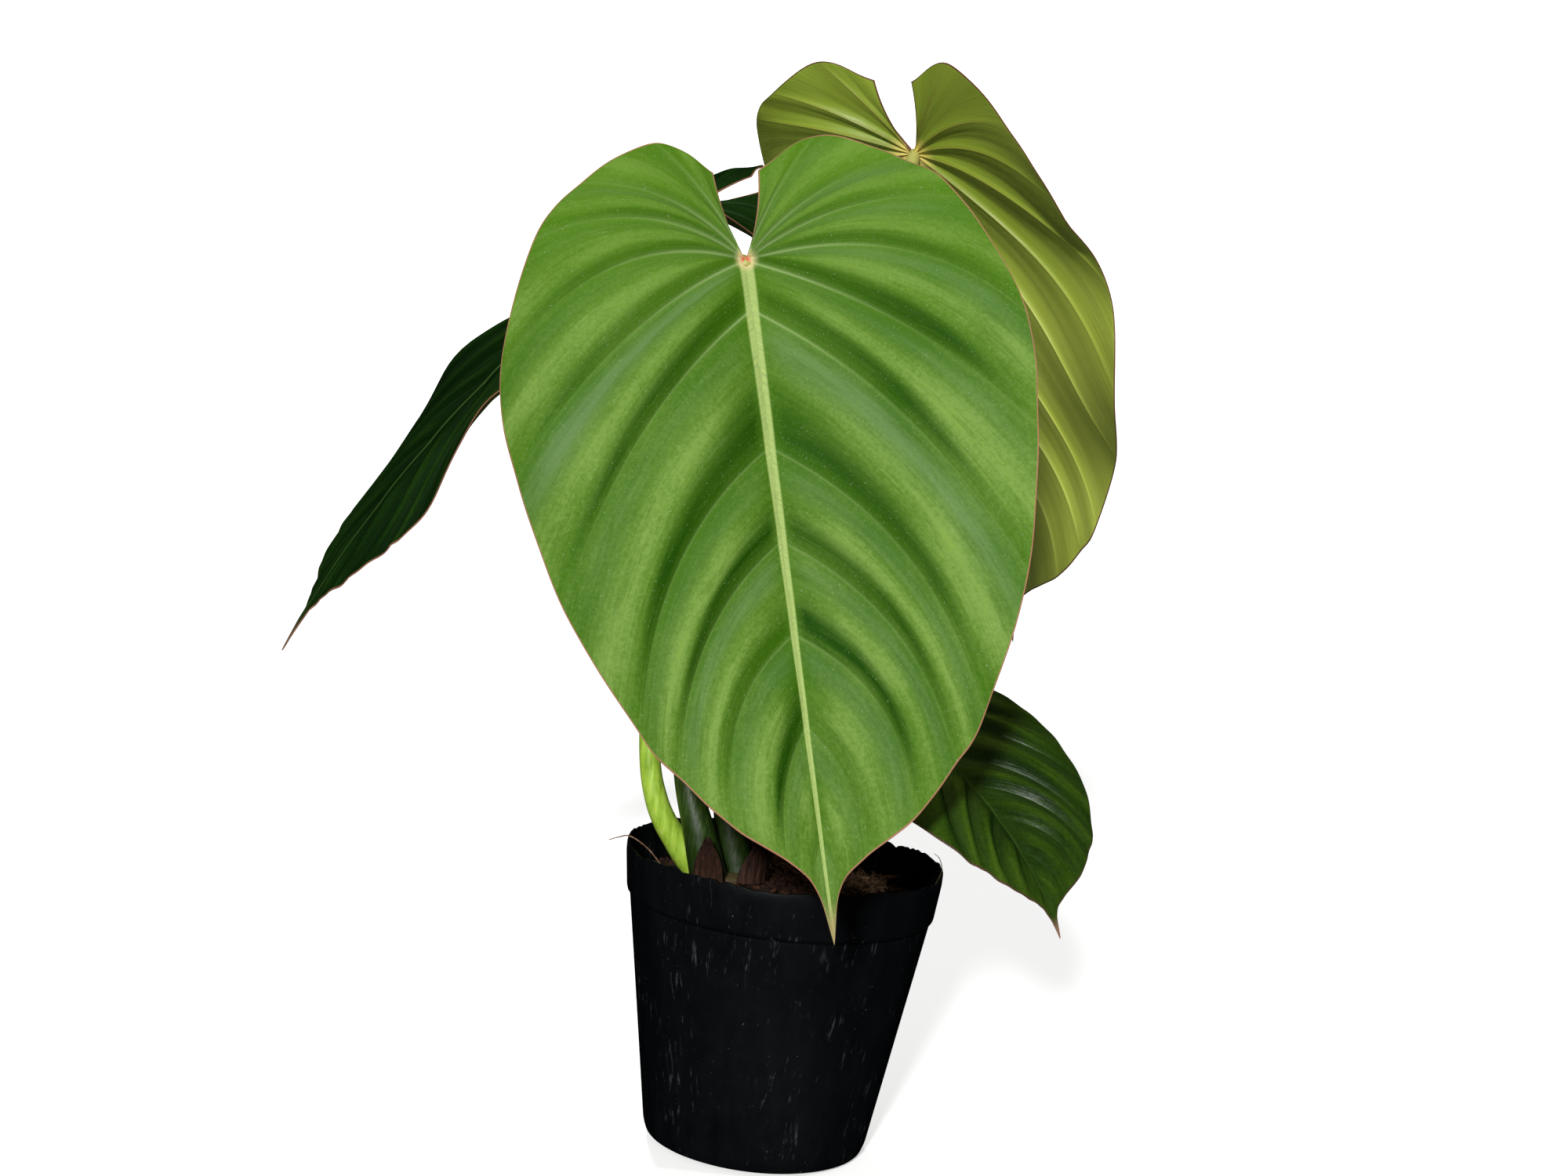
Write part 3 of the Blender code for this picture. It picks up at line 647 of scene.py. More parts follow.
def half_blade(leaf, side):
    """One half of a blade: its middle surface as flat positions and the rise of its folds, and what is
    painted on it.
    """
    half = 0 if side < 0 else 1
    whole = len(RIBS) - 1
    places = np.array([i + f for i in range(whole) for f in ROWS_PER_RIB] + [whole - 1e-9])
    shares = np.array(COLUMNS)[None, :]
    x, y = flat_half(places, shares)
    x = x * leaf["width"][half]
    interval = np.minimum(places.astype(int), whole - 1)
    f = (places - interval)[:, None]
    spread = np.sin(np.pi * shares**0.85) ** 0.8 * np.minimum(1, 8 * (1 - y))
    height = np.array(leaf["pleats"][half])[interval][:, None] * 0.001
    rise = height * spread * (fold_shape(f) + 0.10 * np.sin(6 * np.pi * f + 2 * shares) * hump(f, 0.5, 0.3))
    along_margin = np.sin(places * 5.1 + side)[:, None] + 0.7 * np.sin(places * 9.7 + 2 * side)[:, None]
    rise = rise + MARGIN_RIPPLE * along_margin * shares**5 * np.minimum(1, 6 * (1 - y))
    # distance to the nearest rib, square to that rib
    nearest = []
    for offset in (0, 1):
        rib_x, rib_y = flat_half(np.minimum(interval + offset, whole - 1e-9).astype(float), shares)
        rib_x = rib_x * leaf["width"][half]
        run_x, run_y = np.gradient(rib_x, axis=1), np.gradient(rib_y, axis=1)
        run = np.hypot(run_x, run_y) + 1e-9
        nearest.append(np.abs((x - rib_x) * run_y - (y - rib_y) * run_x) / run)
    length = leaf["length"] * 1000
    # Painted shade: a dark band in the furrow before each next rib, where its steep slope falls into shade.
    furrow_shade = np.array(leaf["furrow_shades"][half])[interval][:, None] * 0.1
    painted_sheen = np.array(leaf["painted_sheen"][half])[interval][:, None] * 0.1
    reach = np.clip(shares / 0.06, 0, 1) * np.clip((0.93 - shares) / 0.3, 0, 1)
    furrow_shade_width = 0.06 + 0.17 * (1 - shares) ** 1.6
    calm = np.clip((1.0 - y) / 0.3, 0, 1)
    # Painted sheen: a greyish pale band just after each rib, where the velvet catches the light; it fades out
    # at the midrib, the margin and the tip.
    painted_sheen = painted_sheen * hump(f, 0.22, 0.17) * np.clip(shares / 0.1, 0, 1)
    painted_sheen = painted_sheen * np.clip((1.1 - shares) / 0.3, 0, 1) * calm
    margin = np.minimum((1 - shares) * np.hypot(x[:, -1:], y[:, -1:] - y[:, :1]), 1)
    sinus_x = flat_half(np.zeros(1), shares)[0] * leaf["width"][half]
    sinus = np.where(places[:, None] < 1, np.abs(x - sinus_x), 1)
    painted = {
        "rib_place": np.broadcast_to(places[:, None], x.shape) + 20 * half,
        "rib_share": np.broadcast_to(shares, x.shape),
        "to_rib": np.minimum(*nearest) * length,
        "to_midrib": x * leaf["length"] / (leaf["midrib"] * (0.18 + 0.82 * np.clip(1 - y, 0, 1) ** 1.1)),
        "to_margin": np.minimum(margin, sinus) * length,
        "to_joint": np.hypot(x, y) * length,
        "furrow_shade": furrow_shade * hump(f, 0.97 - furrow_shade_width * 0.9, furrow_shade_width) * reach,
        "painted_sheen": painted_sheen,
        # painted light: each fold's crest is paler, evening out towards the tip
        "ridge_light": (hump(f, 0.56, 0.22) * calm + 0.5 * (1 - calm)) * np.clip(shares / 0.25, 0, 1),
        "lengthwise": y,
    }
    return x, y, rise, painted


def make_blade(name, leaf, upper, under):
    """A blade of two halves, each with an upper and a lower side that are closed along margin and notch."""
    points, faces, kinds, painted_all = [], [], [], []
    count = 0
    for side in (-1, 1):
        x, y, rise, painted = half_blade(leaf, side)
        rows, columns = x.shape
        middle = formed(leaf, side, x, y, rise)
        square = facing(leaf, side, x, y)
        edge = np.clip(painted["to_margin"] / 1.4, 0, 1) ** 0.5
        thick = BLADE_THICKNESS / 2 * (0.35 + 0.65 * edge)
        midrib = np.clip(1.05 - painted["to_midrib"], 0, 1) ** 0.6 * leaf["midrib"]
        midrib = midrib * np.clip(1 - y, 0.1, 1) * (y > -0.02)
        vein = np.clip(1 - painted["to_rib"] / 1.1, 0, 1) * np.clip(1 - painted["rib_share"], 0, 1)
        vein = vein * (y < 0.9) * np.clip(painted["rib_share"] / 0.08, 0, 1)
        top = middle + square * (thick + 0.10 * midrib)[..., None]
        bottom = middle - square * (thick + 0.55 * midrib + RIB_RISE * vein)[..., None]
        for surface, under_side in ((top, 0), (bottom, 1)):
            points.append(surface.reshape(-1, 3))
            fresh = grid_faces(rows, columns, start=count, flip=(side > 0) != bool(under_side))
            faces.append(fresh)
            kinds.append(np.full(len(fresh), under_side))
            painted_all.append(painted | {"flat_u": 0.25 + side * x * 0.55 + 0.5 * under_side,
                                          "flat_v": 0.02 + (y + 0.19) * 0.55})
            count += rows * columns
        start = count - 2 * rows * columns
        margin = [start + r * columns + columns - 1 for r in range(rows)]
        sinus = [start + c for c in range(columns)]
        for line in (margin, sinus):
            strip = np.array([(a, b, b + rows * columns, a + rows * columns) for a, b in zip(line, line[1:])])
            faces.append(strip)
            kinds.append(np.full(len(strip), 0))
    values = {key: np.concatenate([p[key].ravel() for p in painted_all]) for key in painted_all[0]}
    blade = piece(name, np.vstack(points), np.vstack(faces), [upper, under], values, np.concatenate(kinds))
    welded(blade, 3e-6)
    unwrap(blade)
    blade.data.transform(Matrix.Translation(leaf["at"]) @ blade_turn(leaf).to_4x4())
    return blade


def unwrap(blade):
    """Lays the blade's upper and lower sides out flat, side by side, as a map that its colours can be baked
    into.
    """
    mesh = blade.data
    u, v = (np.empty(len(mesh.vertices), np.float32) for _ in range(2))
    mesh.attributes["flat_u"].data.foreach_get("value", u)
    mesh.attributes["flat_v"].data.foreach_get("value", v)
    corners = np.empty(len(mesh.loops), np.int32)
    mesh.loops.foreach_get("vertex_index", corners)
    layer = mesh.uv_layers.new(name="OFBake")
    spots = np.stack((u[corners], v[corners]), axis=-1)
    for face in mesh.polygons:
        loops = slice(face.loop_start, face.loop_start + face.loop_total)
        if np.ptp(spots[loops, 0]) > 0.4:  # the thin rim runs from one side to the other
            spots[loops, 0] = np.where(spots[loops, 0] > 0.5, spots[loops, 0] - 0.5 + 0.001, spots[loops, 0])
    layer.data.foreach_set("uv", spots.astype(np.float32).ravel())
    for key in ("flat_u", "flat_v"):
        mesh.attributes.remove(mesh.attributes[key])


def rib_noise(finish, across, along, detail, rough, twist=0.0):
    """Noise that runs with the ribs, so that it streaks from midrib to margin."""
    parts = {0: finish.times(finish.value("rib_place"), across),
             1: finish.times(finish.value("rib_share"), along)}
    return finish.noise(finish.add("ShaderNodeCombineXYZ", parts), 1.0, detail, rough, twist)


def upper_finish(name, colours, rough, glint_strength, shine=0.2):
    """The upper side: four greens from deep to yellow, paler on the fold crests as painted light, then
    painted sheen, painted shade in the furrows, and the colours of lines, edges and tip.
    """
    made = Finish(name, {"Specular IOR Level": shine})
    spot = made.place()
    streak = rib_noise(made, 5.5, 1.3, 5, 0.62, 0.35)
    fine = rib_noise(made, 34, 2.2, 3, 0.6)
    cloud = made.noise(spot, 17, 3, 0.55)
    drift = rib_noise(made, 1.1, 1.7, 3, 0.5)
    # Painted light: the tone is raised on the fold crests, then streaked and clouded.
    tone = made.sum("MULTIPLY_ADD", made.value("ridge_light"), 0.26, made.times(streak, 0.34))
    tone = made.sway(tone, fine, 0.5, 0.24)
    tone = made.sway(tone, cloud, 0.5, 0.45)
    tone = made.sway(tone, drift, 0.38, 0.42)
    velvet = made.noise(spot, 620, 4, 0.7)
    tone = made.sway(tone, velvet, 0.5, 0.42)
    colour = made.ramp(tone, ((0.15, colours["deep"]), (0.34, colours["green"]), (0.52, colours["light"]),
                              (0.75, colours["yellow"])))
    # Painted sheen: the greyish pale band after each rib, broken up by the streaks.
    painted_sheen_share = made.times(made.value("painted_sheen"), made.range(streak, 0.3, 0.62, 0.45, 1.0))
    colour = made.mix(painted_sheen_share, colour, colours["painted_sheen"])
    # Painted shade: the furrow before each next rib is darkened towards its dark green, varied by the
    # streaks.
    dark = made.times(made.value("furrow_shade"), made.range(streak, 0.3, 0.6, 1.05, 0.75))
    colour = made.mix(dark, colour, colours["furrow_shade"])
    brushed = made.range(rib_noise(made, 6.0, 3.2, 6, 0.75, 0.5), 0.50, 0.66, 0.0, 0.42)
    colour = made.mix(brushed, colour, colours["brushed"])
    colour = made.mix(made.fade("lengthwise", -0.12, 0.26, 0.5, 0.0), colour, colours["lobe"])
    near = made.fade("to_joint", 4, 75, 0.85, 0.22)
    line = made.times(made.fade("to_rib", 0.12, 0.75), near)
    line = made.times(line, made.fade("rib_share", 0.05, 0.75, 1.0, 0.22))
    line = made.times(line, made.fade("lengthwise", 0.55, 0.85, 1.0, 0.35))
    colour = made.mix(line, colour, colours["vein"])
    halo = made.fade("to_rib", 0.3, 2.2, 0.16, 0.0)
    colour = made.mix(made.times(halo, near), colour, colours["vein"])
    band = made.fade("to_midrib", 0.72, 1.12)
    in_midrib = made.mix(made.range(fine, 0.3, 0.8), colours["midrib"], colours["vein"])
    colour = made.mix(made.times(band, 0.94), colour, in_midrib)
    joint = made.fade("to_joint", 1.5, 6.0)
    colour = made.mix(made.times(joint, 0.85), colour, colours["joint"])
    blush = made.fade("to_joint", 1.0, 3.0, 0.9, 0.0)
    colour = made.mix(blush, colour, colours["blush"])
    rim = made.fade("to_margin", 0.35, 0.9)
    colour = made.mix(rim, colour, colours["margin"])
    colour = made.mix(made.fade("lengthwise", 0.93, 0.985, 0.0, 0.9), colour, colours["tip"])
    # Painted glints: tiny pale specks that stand for highlights on the velvet.
    glint = made.range(made.noise(spot, 1500, 1, 0.5), 0.68, 0.76)
    colour = made.mix(made.times(glint, glint_strength), colour, colours["glint"])
    made.into("Base Color", colour)
    made.into("Roughness", made.range(made.noise(spot, 240, 4, 0.6), 0.3, 0.75, rough - 0.07, rough + 0.1))
    grain = made.bump(made.noise(spot, 1300, 3, 0.6), 0.00012, 0.55)
    made.into("Normal", made.bump(fine, 0.0005, 0.6, grain))
    return made.material


def under_finish(name, colours, rough):
    """The lower side: satin, with ribs that stand out and fine lines between them."""
    made = Finish(name, {"Specular IOR Level": 0.5, "Coat Weight": 0.12, "Coat Roughness": 0.3})
    spot = made.place()
    streak = rib_noise(made, 4.5, 1.0, 5, 0.6, 0.3)
    fine = rib_noise(made, 46, 1.6, 3, 0.65)
    tone = made.sum("MULTIPLY_ADD", streak, 0.45, made.times(made.sum("SUBTRACT", fine, 0.5), 0.32))
    tone = made.sway(tone, made.noise(spot, 14, 3), 0.5, 0.5)
    tone = made.sum("ADD", tone, 0.27)
    colour = made.ramp(tone, ((0.2, colours["deep"]), (0.45, colours["green"]), (0.75, colours["light"])))
    # Painted shade in the furrows on the lower side too, a quarter of the way to the deep green.
    colour = made.mix(made.times(made.value("furrow_shade"), 0.25), colour, colours["deep"])
    lobe = made.fade("lengthwise", 0.0, 0.35)
    colour = made.mix(made.times(lobe, 0.6), colour, colours["lobe"])
    line = made.fade("to_rib", 0.3, 0.9)
    faded = made.fade("rib_share", 0.55, 1.0, 1.0, 0.2)
    line = made.times(line, faded)
    vein_colour = made.mix(lobe, colours["vein"], colours["lobe_vein"])
    colour = made.mix(made.times(line, 0.30), colour, vein_colour)
    band = made.fade("to_midrib", 0.75, 1.1)
    colour = made.mix(made.times(band, 0.85), colour, colours["midrib"])
    joint = made.fade("to_joint", 3, 13)
    colour = made.mix(made.times(joint, 0.85), colour, colours["joint"])
    rim = made.fade("to_margin", 0.3, 0.9)
    colour = made.mix(rim, colour, colours["margin"])
    made.into("Base Color", colour)
    made.into("Roughness", made.range(made.noise(spot, 200, 4, 0.6), 0.3, 0.75, rough - 0.06, rough + 0.1))
    grain = made.bump(made.noise(spot, 900, 3, 0.6), 0.00010, 0.5)
    made.into("Normal", made.bump(fine, 0.0004, 0.6, grain))
    return made.material


# The upper-side sets hold a blade's own greens and marks, and two colours of painted light: a dark green for
# the painted shade in the furrows and a greyish pale green for the painted sheen after each rib.
FRONT_COLOURS = {
    "deep": (0.044, 0.128, 0.004), "green": (0.090, 0.188, 0.019), "light": (0.158, 0.275, 0.050),
    "yellow": (0.200, 0.318, 0.046), "painted_sheen": (0.135, 0.230, 0.098), "furrow_shade": (0.012, 0.056, 0.001),
    "brushed": (0.046, 0.118, 0.006), "tip": (0.34, 0.27, 0.12), "lobe": (0.078, 0.190, 0.006),
    "vein": (0.24, 0.35, 0.12), "midrib": (0.40, 0.50, 0.15), "joint": (0.72, 0.58, 0.30),
    "blush": (0.66, 0.12, 0.08), "margin": (0.36, 0.17, 0.10), "glint": (0.36, 0.45, 0.28),
}
DARK_COLOURS = {
    "deep": (0.003, 0.012, 0.002), "green": (0.006, 0.024, 0.003), "light": (0.013, 0.042, 0.005),
    "yellow": (0.026, 0.062, 0.006), "painted_sheen": (0.018, 0.040, 0.016), "furrow_shade": (0.002, 0.008, 0.001),
    "brushed": (0.004, 0.014, 0.002), "tip": (0.16, 0.09, 0.05), "lobe": (0.006, 0.024, 0.003),
    "vein": (0.022, 0.050, 0.014), "midrib": (0.05, 0.10, 0.02), "joint": (0.30, 0.34, 0.10),
    "blush": (0.36, 0.20, 0.09), "margin": (0.22, 0.10, 0.06), "glint": (0.06, 0.09, 0.05),
}
YOUNG_COLOURS = DARK_COLOURS | {
    "deep": (0.010, 0.030, 0.002), "green": (0.024, 0.058, 0.003), "light": (0.046, 0.098, 0.006),
    "yellow": (0.090, 0.135, 0.010), "painted_sheen": (0.050, 0.090, 0.020), "furrow_shade": (0.003, 0.012, 0.001),
    "vein": (0.030, 0.062, 0.008), "midrib": (0.024, 0.050, 0.006), "margin": (0.07, 0.035, 0.02),
    "tip": (0.30, 0.17, 0.11),
}
BACK_UPPER = DARK_COLOURS | {
    "deep": (0.02, 0.07, 0.01), "green": (0.035, 0.11, 0.012), "light": (0.06, 0.16, 0.02),
    "yellow": (0.10, 0.20, 0.02),
}
UNDER_COLOURS = {
    "deep": (0.20, 0.26, 0.024), "green": (0.34, 0.41, 0.050), "light": (0.46, 0.54, 0.100),
    "lobe": (0.17, 0.27, 0.012),
    "vein": (0.62, 0.60, 0.14), "lobe_vein": (0.17, 0.085, 0.02), "midrib": (0.60, 0.60, 0.15),
    "joint": (0.85, 0.68, 0.17), "margin": (0.12, 0.045, 0.025),
}
DARK_UNDER = UNDER_COLOURS | {
    "deep": (0.05, 0.085, 0.015), "green": (0.09, 0.135, 0.025), "light": (0.14, 0.19, 0.04),
    "vein": (0.19, 0.22, 0.07), "lobe": (0.07, 0.11, 0.02),
}

blade_finishes = {
    "front": (upper_finish("front_blade_upper", FRONT_COLOURS, 0.55, 0.3, 0.05),
              under_finish("front_blade_under", UNDER_COLOURS, 0.42)),
    "back": (upper_finish("back_blade_upper", BACK_UPPER, 0.40, 0.2),
             under_finish("back_blade_under", UNDER_COLOURS, 0.40)),
    "left": (upper_finish("left_blade_upper", DARK_COLOURS, 0.45, 0.2, 0.02),
             under_finish("left_blade_under", DARK_UNDER, 0.42)),
    "right": (upper_finish("right_blade_upper", YOUNG_COLOURS, 0.36, 0.25, 0.32),
              under_finish("right_blade_under", DARK_UNDER, 0.42)),
}
for leaf_name, leaf_form in LEAVES.items():
    blade = make_blade(f"blade_{leaf_name}", leaf_form, *blade_finishes[leaf_name])
    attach(blade, "root")
    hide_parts(f"leaf_{leaf_name}")


# ---- Stalks -------------------------------------------------------------------------------------------
# Four fleshy stalks that rise from the top of the stem, round with a shallow channel on the inner side.
# Each thickens to a knuckle where it turns into its blade.

# Points along each stalk from the stem up: x, y, height and radius.
STALKS = {
    "front": (
        (-0.030, -0.005, 0.1112, 0.0056), (-0.036, -0.006, 0.128, 0.0052), (-0.045, -0.003, 0.157, 0.0043),
        (-0.049, 0.0, 0.205, 0.0038), (-0.050, 0.002, 0.270, 0.0035), (-0.048, -0.008, 0.325, 0.0032),
        (-0.0445, -0.028, 0.3475, 0.0030),
    ),
    "back": (
        (-0.018, 0.009, 0.1112, 0.0052), (-0.024, 0.010, 0.128, 0.0050), (-0.028, 0.012, 0.157, 0.0040),
        (-0.020, 0.014, 0.215, 0.0036), (-0.003, 0.016, 0.300, 0.0033), (0.010, 0.019, 0.365, 0.0030),
        (0.0165, 0.026, 0.396, 0.0026),
    ),
    "left": (
        (-0.0345, 0.006, 0.1112, 0.0042), (-0.044, 0.003, 0.120, 0.0042), (-0.055, 0.001, 0.138, 0.0040),
        (-0.061, 0.003, 0.165, 0.0037), (-0.065, 0.010, 0.230, 0.0033), (-0.066, 0.024, 0.315, 0.0029),
        (-0.063, 0.037, 0.361, 0.0026),
    ),
    "right": (
        (-0.014, 0.000, 0.1112, 0.0030), (-0.007, 0.004, 0.126, 0.0028), (0.006, 0.008, 0.145, 0.0025),
        (0.018, 0.003, 0.163, 0.0022), (0.0245, -0.003, 0.1755, 0.0020),
    ),
}
STALK_GAP = 0.0013
STALK_FOOT_HEIGHT = 0.1085
KNUCKLE_COLOUR = (0.50, 0.48, 0.13)


def stalk_finish(name, dark, green, light, shade):
    """A stalk's skin: long streaks and flecks of green, a pale knuckle and a shaded foot."""
    made = Finish(name, {"Specular IOR Level": 0.45})
    spot = made.place()
    long_streak = made.noise(made.place((1, 1, 0.05)), 700, 4, 0.6)
    tone = made.sum("MULTIPLY_ADD", long_streak, 0.6, made.times(made.noise(spot, 60, 3), 0.4))
    colour = made.ramp(tone, ((0.32, dark), (0.5, green), (0.68, light)))
    fleck = made.range(made.noise(made.place((1, 1, 0.4)), 620, 2), 0.64, 0.72)
    colour = made.mix(made.times(fleck, 0.35), colour, light)
    knuckle = made.fade("height_share", 0.90, 0.99, 0.0, 0.8)
    colour = made.mix(knuckle, colour, KNUCKLE_COLOUR)
    foot = made.fade("height_share", 0.0, 0.10, shade, 0.0)
    colour = made.mix(foot, colour, dark)
    made.into("Base Color", colour)
    made.into("Roughness", made.range(made.noise(spot, 300, 3), 0.3, 0.7, 0.32, 0.5))
    made.into("Normal", made.bump(long_streak, 0.0003, 0.7))
    return made.material


# Two copies of the stalk skin: a very dark green as painted shade for the stalks that stand in shade, and a
# pale green for the left stalk that is partly its own colour and partly painted light.
shaded_dark_stalk = stalk_finish("stalk_green", (0.006, 0.016, 0.001), (0.018, 0.042, 0.004),
                          (0.045, 0.09, 0.012), 0.8)
lit_pale_stalk = stalk_finish("stalk_pale", (0.15, 0.26, 0.014), (0.30, 0.48, 0.040), (0.46, 0.62, 0.10), 0.1)


def stalk_outline(share, angles):
    """Round with a channel along one side, a thicker knuckle, and a foot that clasps the stem."""
    channel = 0.13 * np.exp(-(((angles - 1.6) / 0.42) ** 2))
    lines = 0.012 * np.sin(11 * angles)
    knuckle = 0.30 * math.exp(-(((share - 0.955) / 0.03) ** 2))
    foot = 0.15 + 0.22 * max(0, 1 - share / 0.3)
    return (1 - channel + lines) * (1 + knuckle + foot)


for stalk_name, stalk_line in STALKS.items():
    leaf = LEAVES[stalk_name]
    last = stalk_line[-1][3] * 0.9
    gap = STALK_GAP + last * math.tan(math.radians(max(0, -min(leaf["fold"]))))
    square = blade_turn(leaf) @ Vector((0, 0, 1))
    end = Vector(leaf["at"]) - square * gap
    joint = Vector(leaf["at"]) - square * 0.0004
    line = [(*stalk_line[0][:2], STALK_FOOT_HEIGHT, stalk_line[0][3]), *stalk_line[1:],
            (*end, last), (*joint, last * 0.5)]
    points, faces = bar(line, 26, 110, stalk_outline, level_foot=True)
    shares = np.clip((points[:, 2] - STALK_FOOT_HEIGHT) / (leaf["at"][2] - STALK_FOOT_HEIGHT), 0, 1)
    # The left stalk gets the pale skin with painted light, the others the dark skin with painted shade.
    skin = lit_pale_stalk if stalk_name == "left" else shaded_dark_stalk
    stalk = welded(piece(f"stalk_{stalk_name}_skin", points, faces, skin, {"height_share": shares}))
    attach(stalk, "root")
    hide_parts(f"stalk_{stalk_name}")


# ---- Dry sheaths --------------------------------------------------------------------------------------
# Papery scale leaves that once wrapped each new leaf. They have dried to a reddish brown, split into
# fibres at the tip, and stand around the foot of the stalks. Their brown is painted much darker as
# painted shade, for the deep shade among the stalks' feet.

# Each sheath's place, its turn in degrees, its height and its width.
SHEATHS = (
    (-0.010, -0.009, -50, 0.026, 0.014),
    (-0.031, -0.0165, -100, 0.022, 0.012),
    (-0.019, 0.0205, 100, 0.024, 0.012),
)
SHEATH_THICKNESS = 0.00045
SHEATH_ROWS = 40
SHEATH_COLUMNS = 25

sheath_finish = Finish("dry_sheath", {"Specular IOR Level": 0.25, "Roughness": 0.75})
fibre = sheath_finish.noise(sheath_finish.place((1, 1, 0.08)), 1100, 4, 0.65)
# The reddish brown is kept very dark as painted shade.
shade_darkened_sheath_colour = sheath_finish.ramp(fibre, ((0.3, (0.008, 0.003, 0.001)), (0.5, (0.024, 0.008, 0.004)),
                                           (0.7, (0.060, 0.024, 0.012))))
sheath_finish.into("Base Color", shade_darkened_sheath_colour)
sheath_finish.into("Normal", sheath_finish.bump(fibre, 0.0005))

sheath_grid = SHEATH_ROWS * SHEATH_COLUMNS
sheath_edge = [*range(SHEATH_COLUMNS), *range(2 * SHEATH_COLUMNS - 1, sheath_grid, SHEATH_COLUMNS),
               *range(sheath_grid - 2, sheath_grid - SHEATH_COLUMNS - 1, -1),
               *range(sheath_grid - 2 * SHEATH_COLUMNS, 0, -SHEATH_COLUMNS)]
sheath_faces = [*grid_faces(SHEATH_ROWS, SHEATH_COLUMNS),
                *grid_faces(SHEATH_ROWS, SHEATH_COLUMNS, start=sheath_grid, flip=True)]
for a, b in zip(sheath_edge, sheath_edge[1:] + sheath_edge[:1]):
    sheath_faces.append((b, a, a + sheath_grid, b + sheath_grid))

for number, (x, y, turn_degrees, height, width) in enumerate(SHEATHS, 1):
    shares = np.linspace(0, 1, SHEATH_ROWS)[:, None]
    across = np.linspace(-1, 1, SHEATH_COLUMNS)[None, :]
    half = width / 2 * (1 - shares**2) + 0.0006
    frayed = 1 - 0.10 * shares**3 * np.abs(np.sin(across * 9 + number))
    sheet_y = across * half
    sheet_x = -(sheet_y**2) / 0.016 + 0.006 * shares**2 + 0.0004 * np.sin(across * 14 + shares * 3)
    sheet_z = height * shares * frayed
    front = np.stack(np.broadcast_arrays(sheet_x, sheet_y, sheet_z), -1).reshape(-1, 3)
    points = np.vstack((front, front - (SHEATH_THICKNESS, 0, 0)))
    points = points @ np.array(Matrix.Rotation(math.radians(turn_degrees), 3, "Z")).T
    points = points + (x, y, mix_height(x, y) + 0.0008)
    sheath = welded(piece(f"sheath_{number}_paper", points, sheath_faces, sheath_finish.material))
    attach(sheath, "root")
    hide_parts(f"sheath_{number}")


# ---- Bark chips ---------------------------------------------------------------------------------------
# Loose flakes of pine bark that have worked to the top of the mix. They are split by hand or mill along
# the grain, so they are flat, with ragged edges and worn corners.

# Each chip's place, its turn in degrees and its length.
BARK = (
    (0.020, -0.034, 25, 0.015), (-0.010, -0.040, 80, 0.012), (0.044, -0.016, 130, 0.013),
    (0.018, 0.010, 160, 0.011), (0.012, 0.040, 60, 0.014), (-0.030, 0.038, 15, 0.013),
    (-0.046, -0.024, 110, 0.012), (0.046, 0.032, 45, 0.010),
)
BARK_THICKNESS = 0.0032
BARK_LIFT = 0.0024

bark_finish = Finish("bark", {"Specular IOR Level": 0.2, "Roughness": 0.85})
bark_grain = bark_finish.noise(bark_finish.place((1, 0.5, 3)), 420, 6, 0.7)
bark_colour = bark_finish.ramp(bark_grain, ((0.3, (0.012, 0.005, 0.003)), (0.52, (0.05, 0.022, 0.012)),
                                            (0.75, (0.13, 0.065, 0.035))))
bark_finish.into("Base Color", bark_colour)
bark_finish.into("Normal", bark_finish.bump(bark_grain, 0.0008))
for number, (x, y, turn_degrees, length) in enumerate(BARK, 1):
    shape = bmesh.new()
    bmesh.ops.create_cube(shape, size=1)
    bmesh.ops.subdivide_edges(shape, edges=shape.edges, cuts=9, use_grid_fill=True)
    spots = np.array([v.co for v in shape.verts])
    flat_reach = np.maximum(np.abs(spots[:, 0]), np.abs(spots[:, 1])) * 2
    rounder = 1 - 0.18 * (np.abs(spots[:, 0] * 2) * np.abs(spots[:, 1] * 2)) ** 2
    ragged = 1 + 0.16 * lumps(spots * (1, 1, 0.3), 2.6, number) * flat_reach
    spots[:, :2] *= (rounder * ragged)[:, None]
    spots[:, 2] += 0.16 * lumps(spots, 3.1, number + 5) - 0.10 * (spots[:, 0] ** 2) * 2
    spots *= (length, length * 0.55, BARK_THICKNESS)
    for corner, spot in zip(shape.verts, spots):
        corner.co = spot
    chip_mesh = bpy.data.meshes.new(f"bark_flake_{number}")
    shape.to_mesh(chip_mesh)
    shape.free()
    lie = Matrix.Rotation(math.radians(turn_degrees), 4, "Z")
    chip_mesh.transform(Matrix.Translation((x, y, mix_height(x, y) + BARK_LIFT)) @ lie)
    chip_mesh.materials.append(bark_finish.material)
    chip = bpy.data.objects.new(f"bark_flake_{number}", chip_mesh)
    scene.collection.objects.link(chip)
    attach(chip, "root")
    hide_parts(f"bark_chip_{number}")


# ---- Moss tuft and loose fibres -----------------------------------------------------------------------
# A dried tuft of sphagnum the colour of straw, a tangle of fine strands on a matted core. Two loose fibres
# from the mix hang over the lip of the pot.

MOSS_AT = (0.034, 0.010)
MOSS_RADIUS = 0.011
MOSS_HEIGHT = 0.005
MOSS_LIFT = 0.0016
STRANDS = 190
STRAND_RADIUS = 0.00022
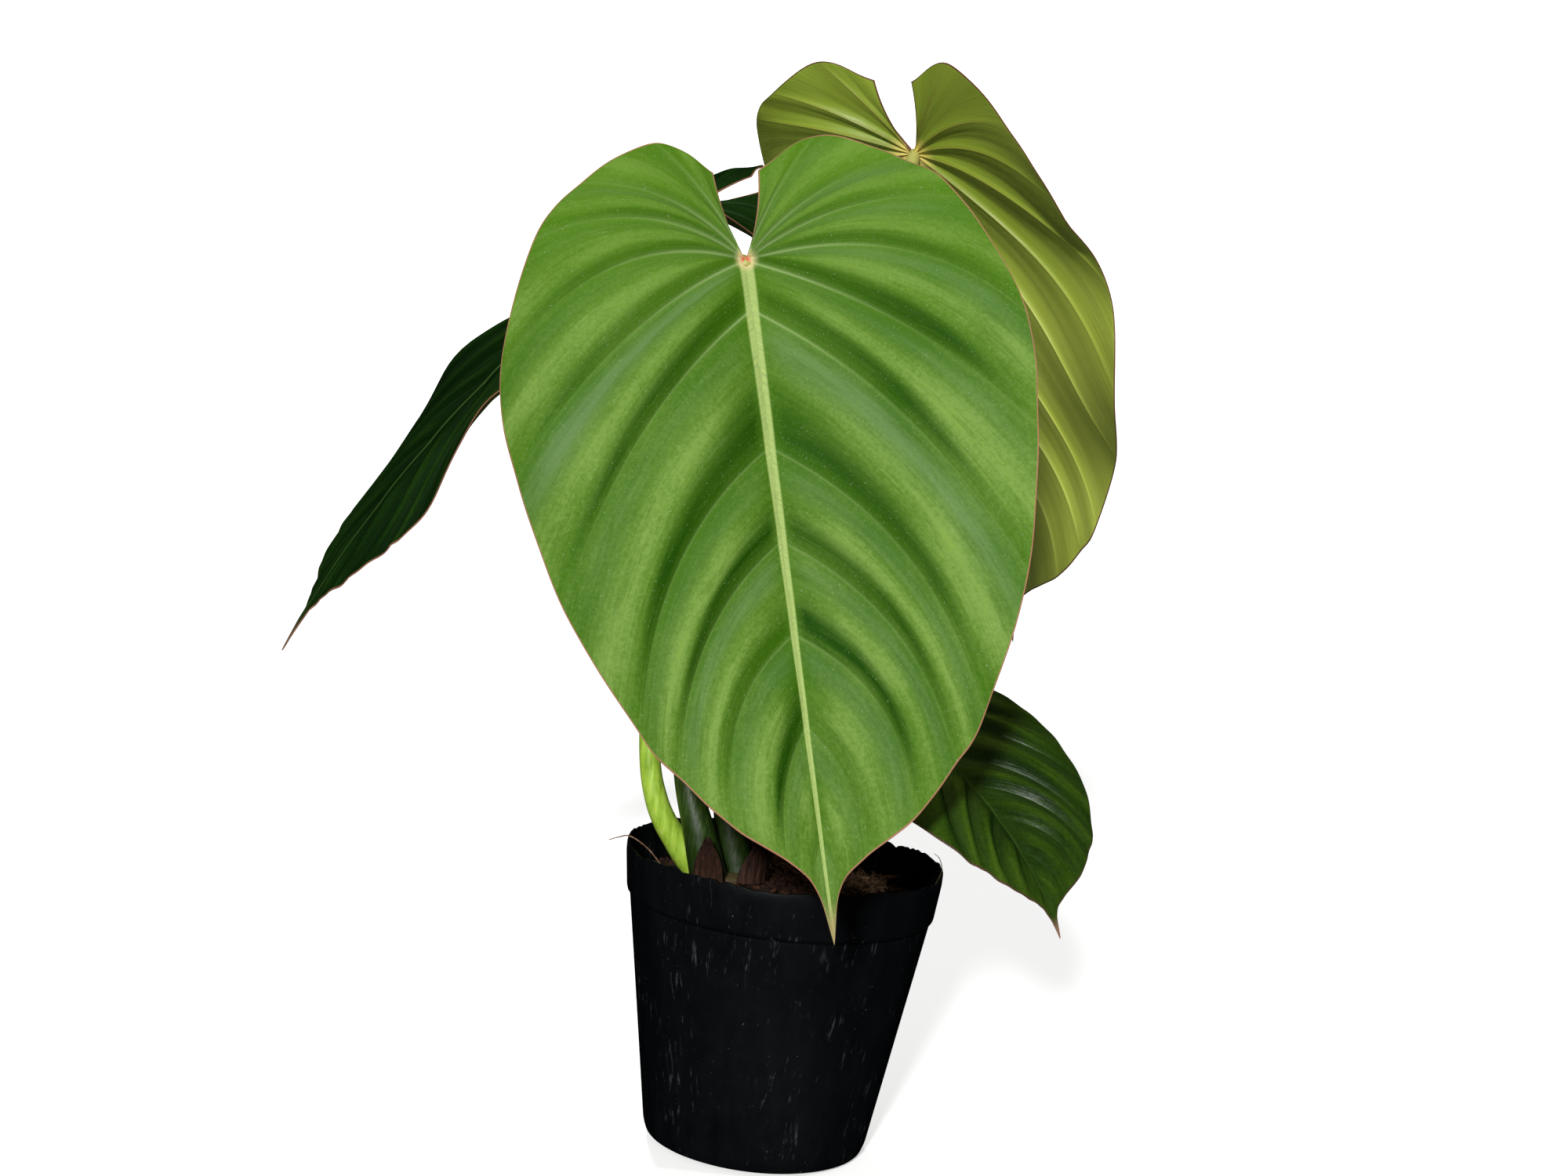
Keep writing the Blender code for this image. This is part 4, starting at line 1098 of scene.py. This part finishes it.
# Points along the loose fibres: x, y, height and radius.
STRAW_LINE = (
    (-0.048, -0.006, 0.1105, 0.0003), (-0.056, -0.004, 0.1185, 0.0003), (-0.064, -0.003, 0.1228, 0.0003),
    (-0.0685, -0.004, 0.1222, 0.00024), (-0.0725, -0.005, 0.1208, 0.00016),
)
HAIR_LINE = (
    (0.058, -0.010, 0.1095, 0.00022), (0.0612, -0.012, 0.118, 0.0002), (0.0635, -0.013, 0.1252, 0.00018),
    (0.0622, -0.013, 0.1302, 0.00015), (0.0596, -0.014, 0.1325, 0.0001),
)

moss_finish = Finish("dry_moss", {"Specular IOR Level": 0.2, "Roughness": 0.85})
moss_noise = moss_finish.noise(moss_finish.place(), 600, 4, 0.7)
moss_colour = moss_finish.ramp(moss_noise, ((0.3, (0.05, 0.025, 0.014)), (0.5, (0.15, 0.085, 0.05)),
                                            (0.72, (0.36, 0.25, 0.16))))
moss_finish.into("Base Color", moss_colour)
moss_finish.into("Normal", moss_finish.bump(moss_noise, 0.0004))
moss_x, moss_y = MOSS_AT
moss_z = float(mix_height(moss_x, moss_y)) + MOSS_LIFT
core_points, core_faces = pebble(4)
core_points *= (1 + 0.25 * lumps(core_points, 2.4, 2) + 0.12 * lumps(core_points, 7, 6))[:, None]
core_points = core_points * (MOSS_RADIUS * 0.8, MOSS_RADIUS * 0.6, MOSS_HEIGHT * 0.7)
core_points = core_points + (moss_x, moss_y, moss_z)
moss_parts = [(core_points, core_faces)]
rng = random.Random(5)
for _ in range(STRANDS):
    angle, reach = rng.uniform(0, 6.283), rng.uniform(0.1, 0.85)
    start = Vector((moss_x + math.cos(angle) * reach * MOSS_RADIUS * 0.8,
                    moss_y + math.sin(angle) * reach * MOSS_RADIUS * 0.6,
                    moss_z + MOSS_HEIGHT * 0.5 * (1 - reach)))
    heading = Vector((math.cos(angle), math.sin(angle), rng.uniform(-0.1, 0.9))).normalized()
    strand = []
    for k in range(5):
        strand.append((*start, STRAND_RADIUS * (1.1 - 0.2 * k)))
        heading = (heading + Vector([rng.uniform(-0.7, 0.7) for _ in range(3)])).normalized()
        start = start + heading * rng.uniform(0.0008, 0.0019)
        start.z = max(start.z, moss_z - 0.001)
    moss_parts.append(bar(strand, 5, 12))
moss_tuft = welded(piece("moss_strands", *joined(moss_parts), moss_finish.material))
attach(moss_tuft, "root")
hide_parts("moss_tuft")

straw = welded(piece("loose_straw", *bar(STRAW_LINE, 8, 40), moss_finish.material))
hair = welded(piece("loose_root", *bar(HAIR_LINE, 8, 40), stem_finish.material))
for fibre_piece, fibre_slot in ((straw, "dry_moss"), (hair, "stem")):
    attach(fibre_piece, "root")
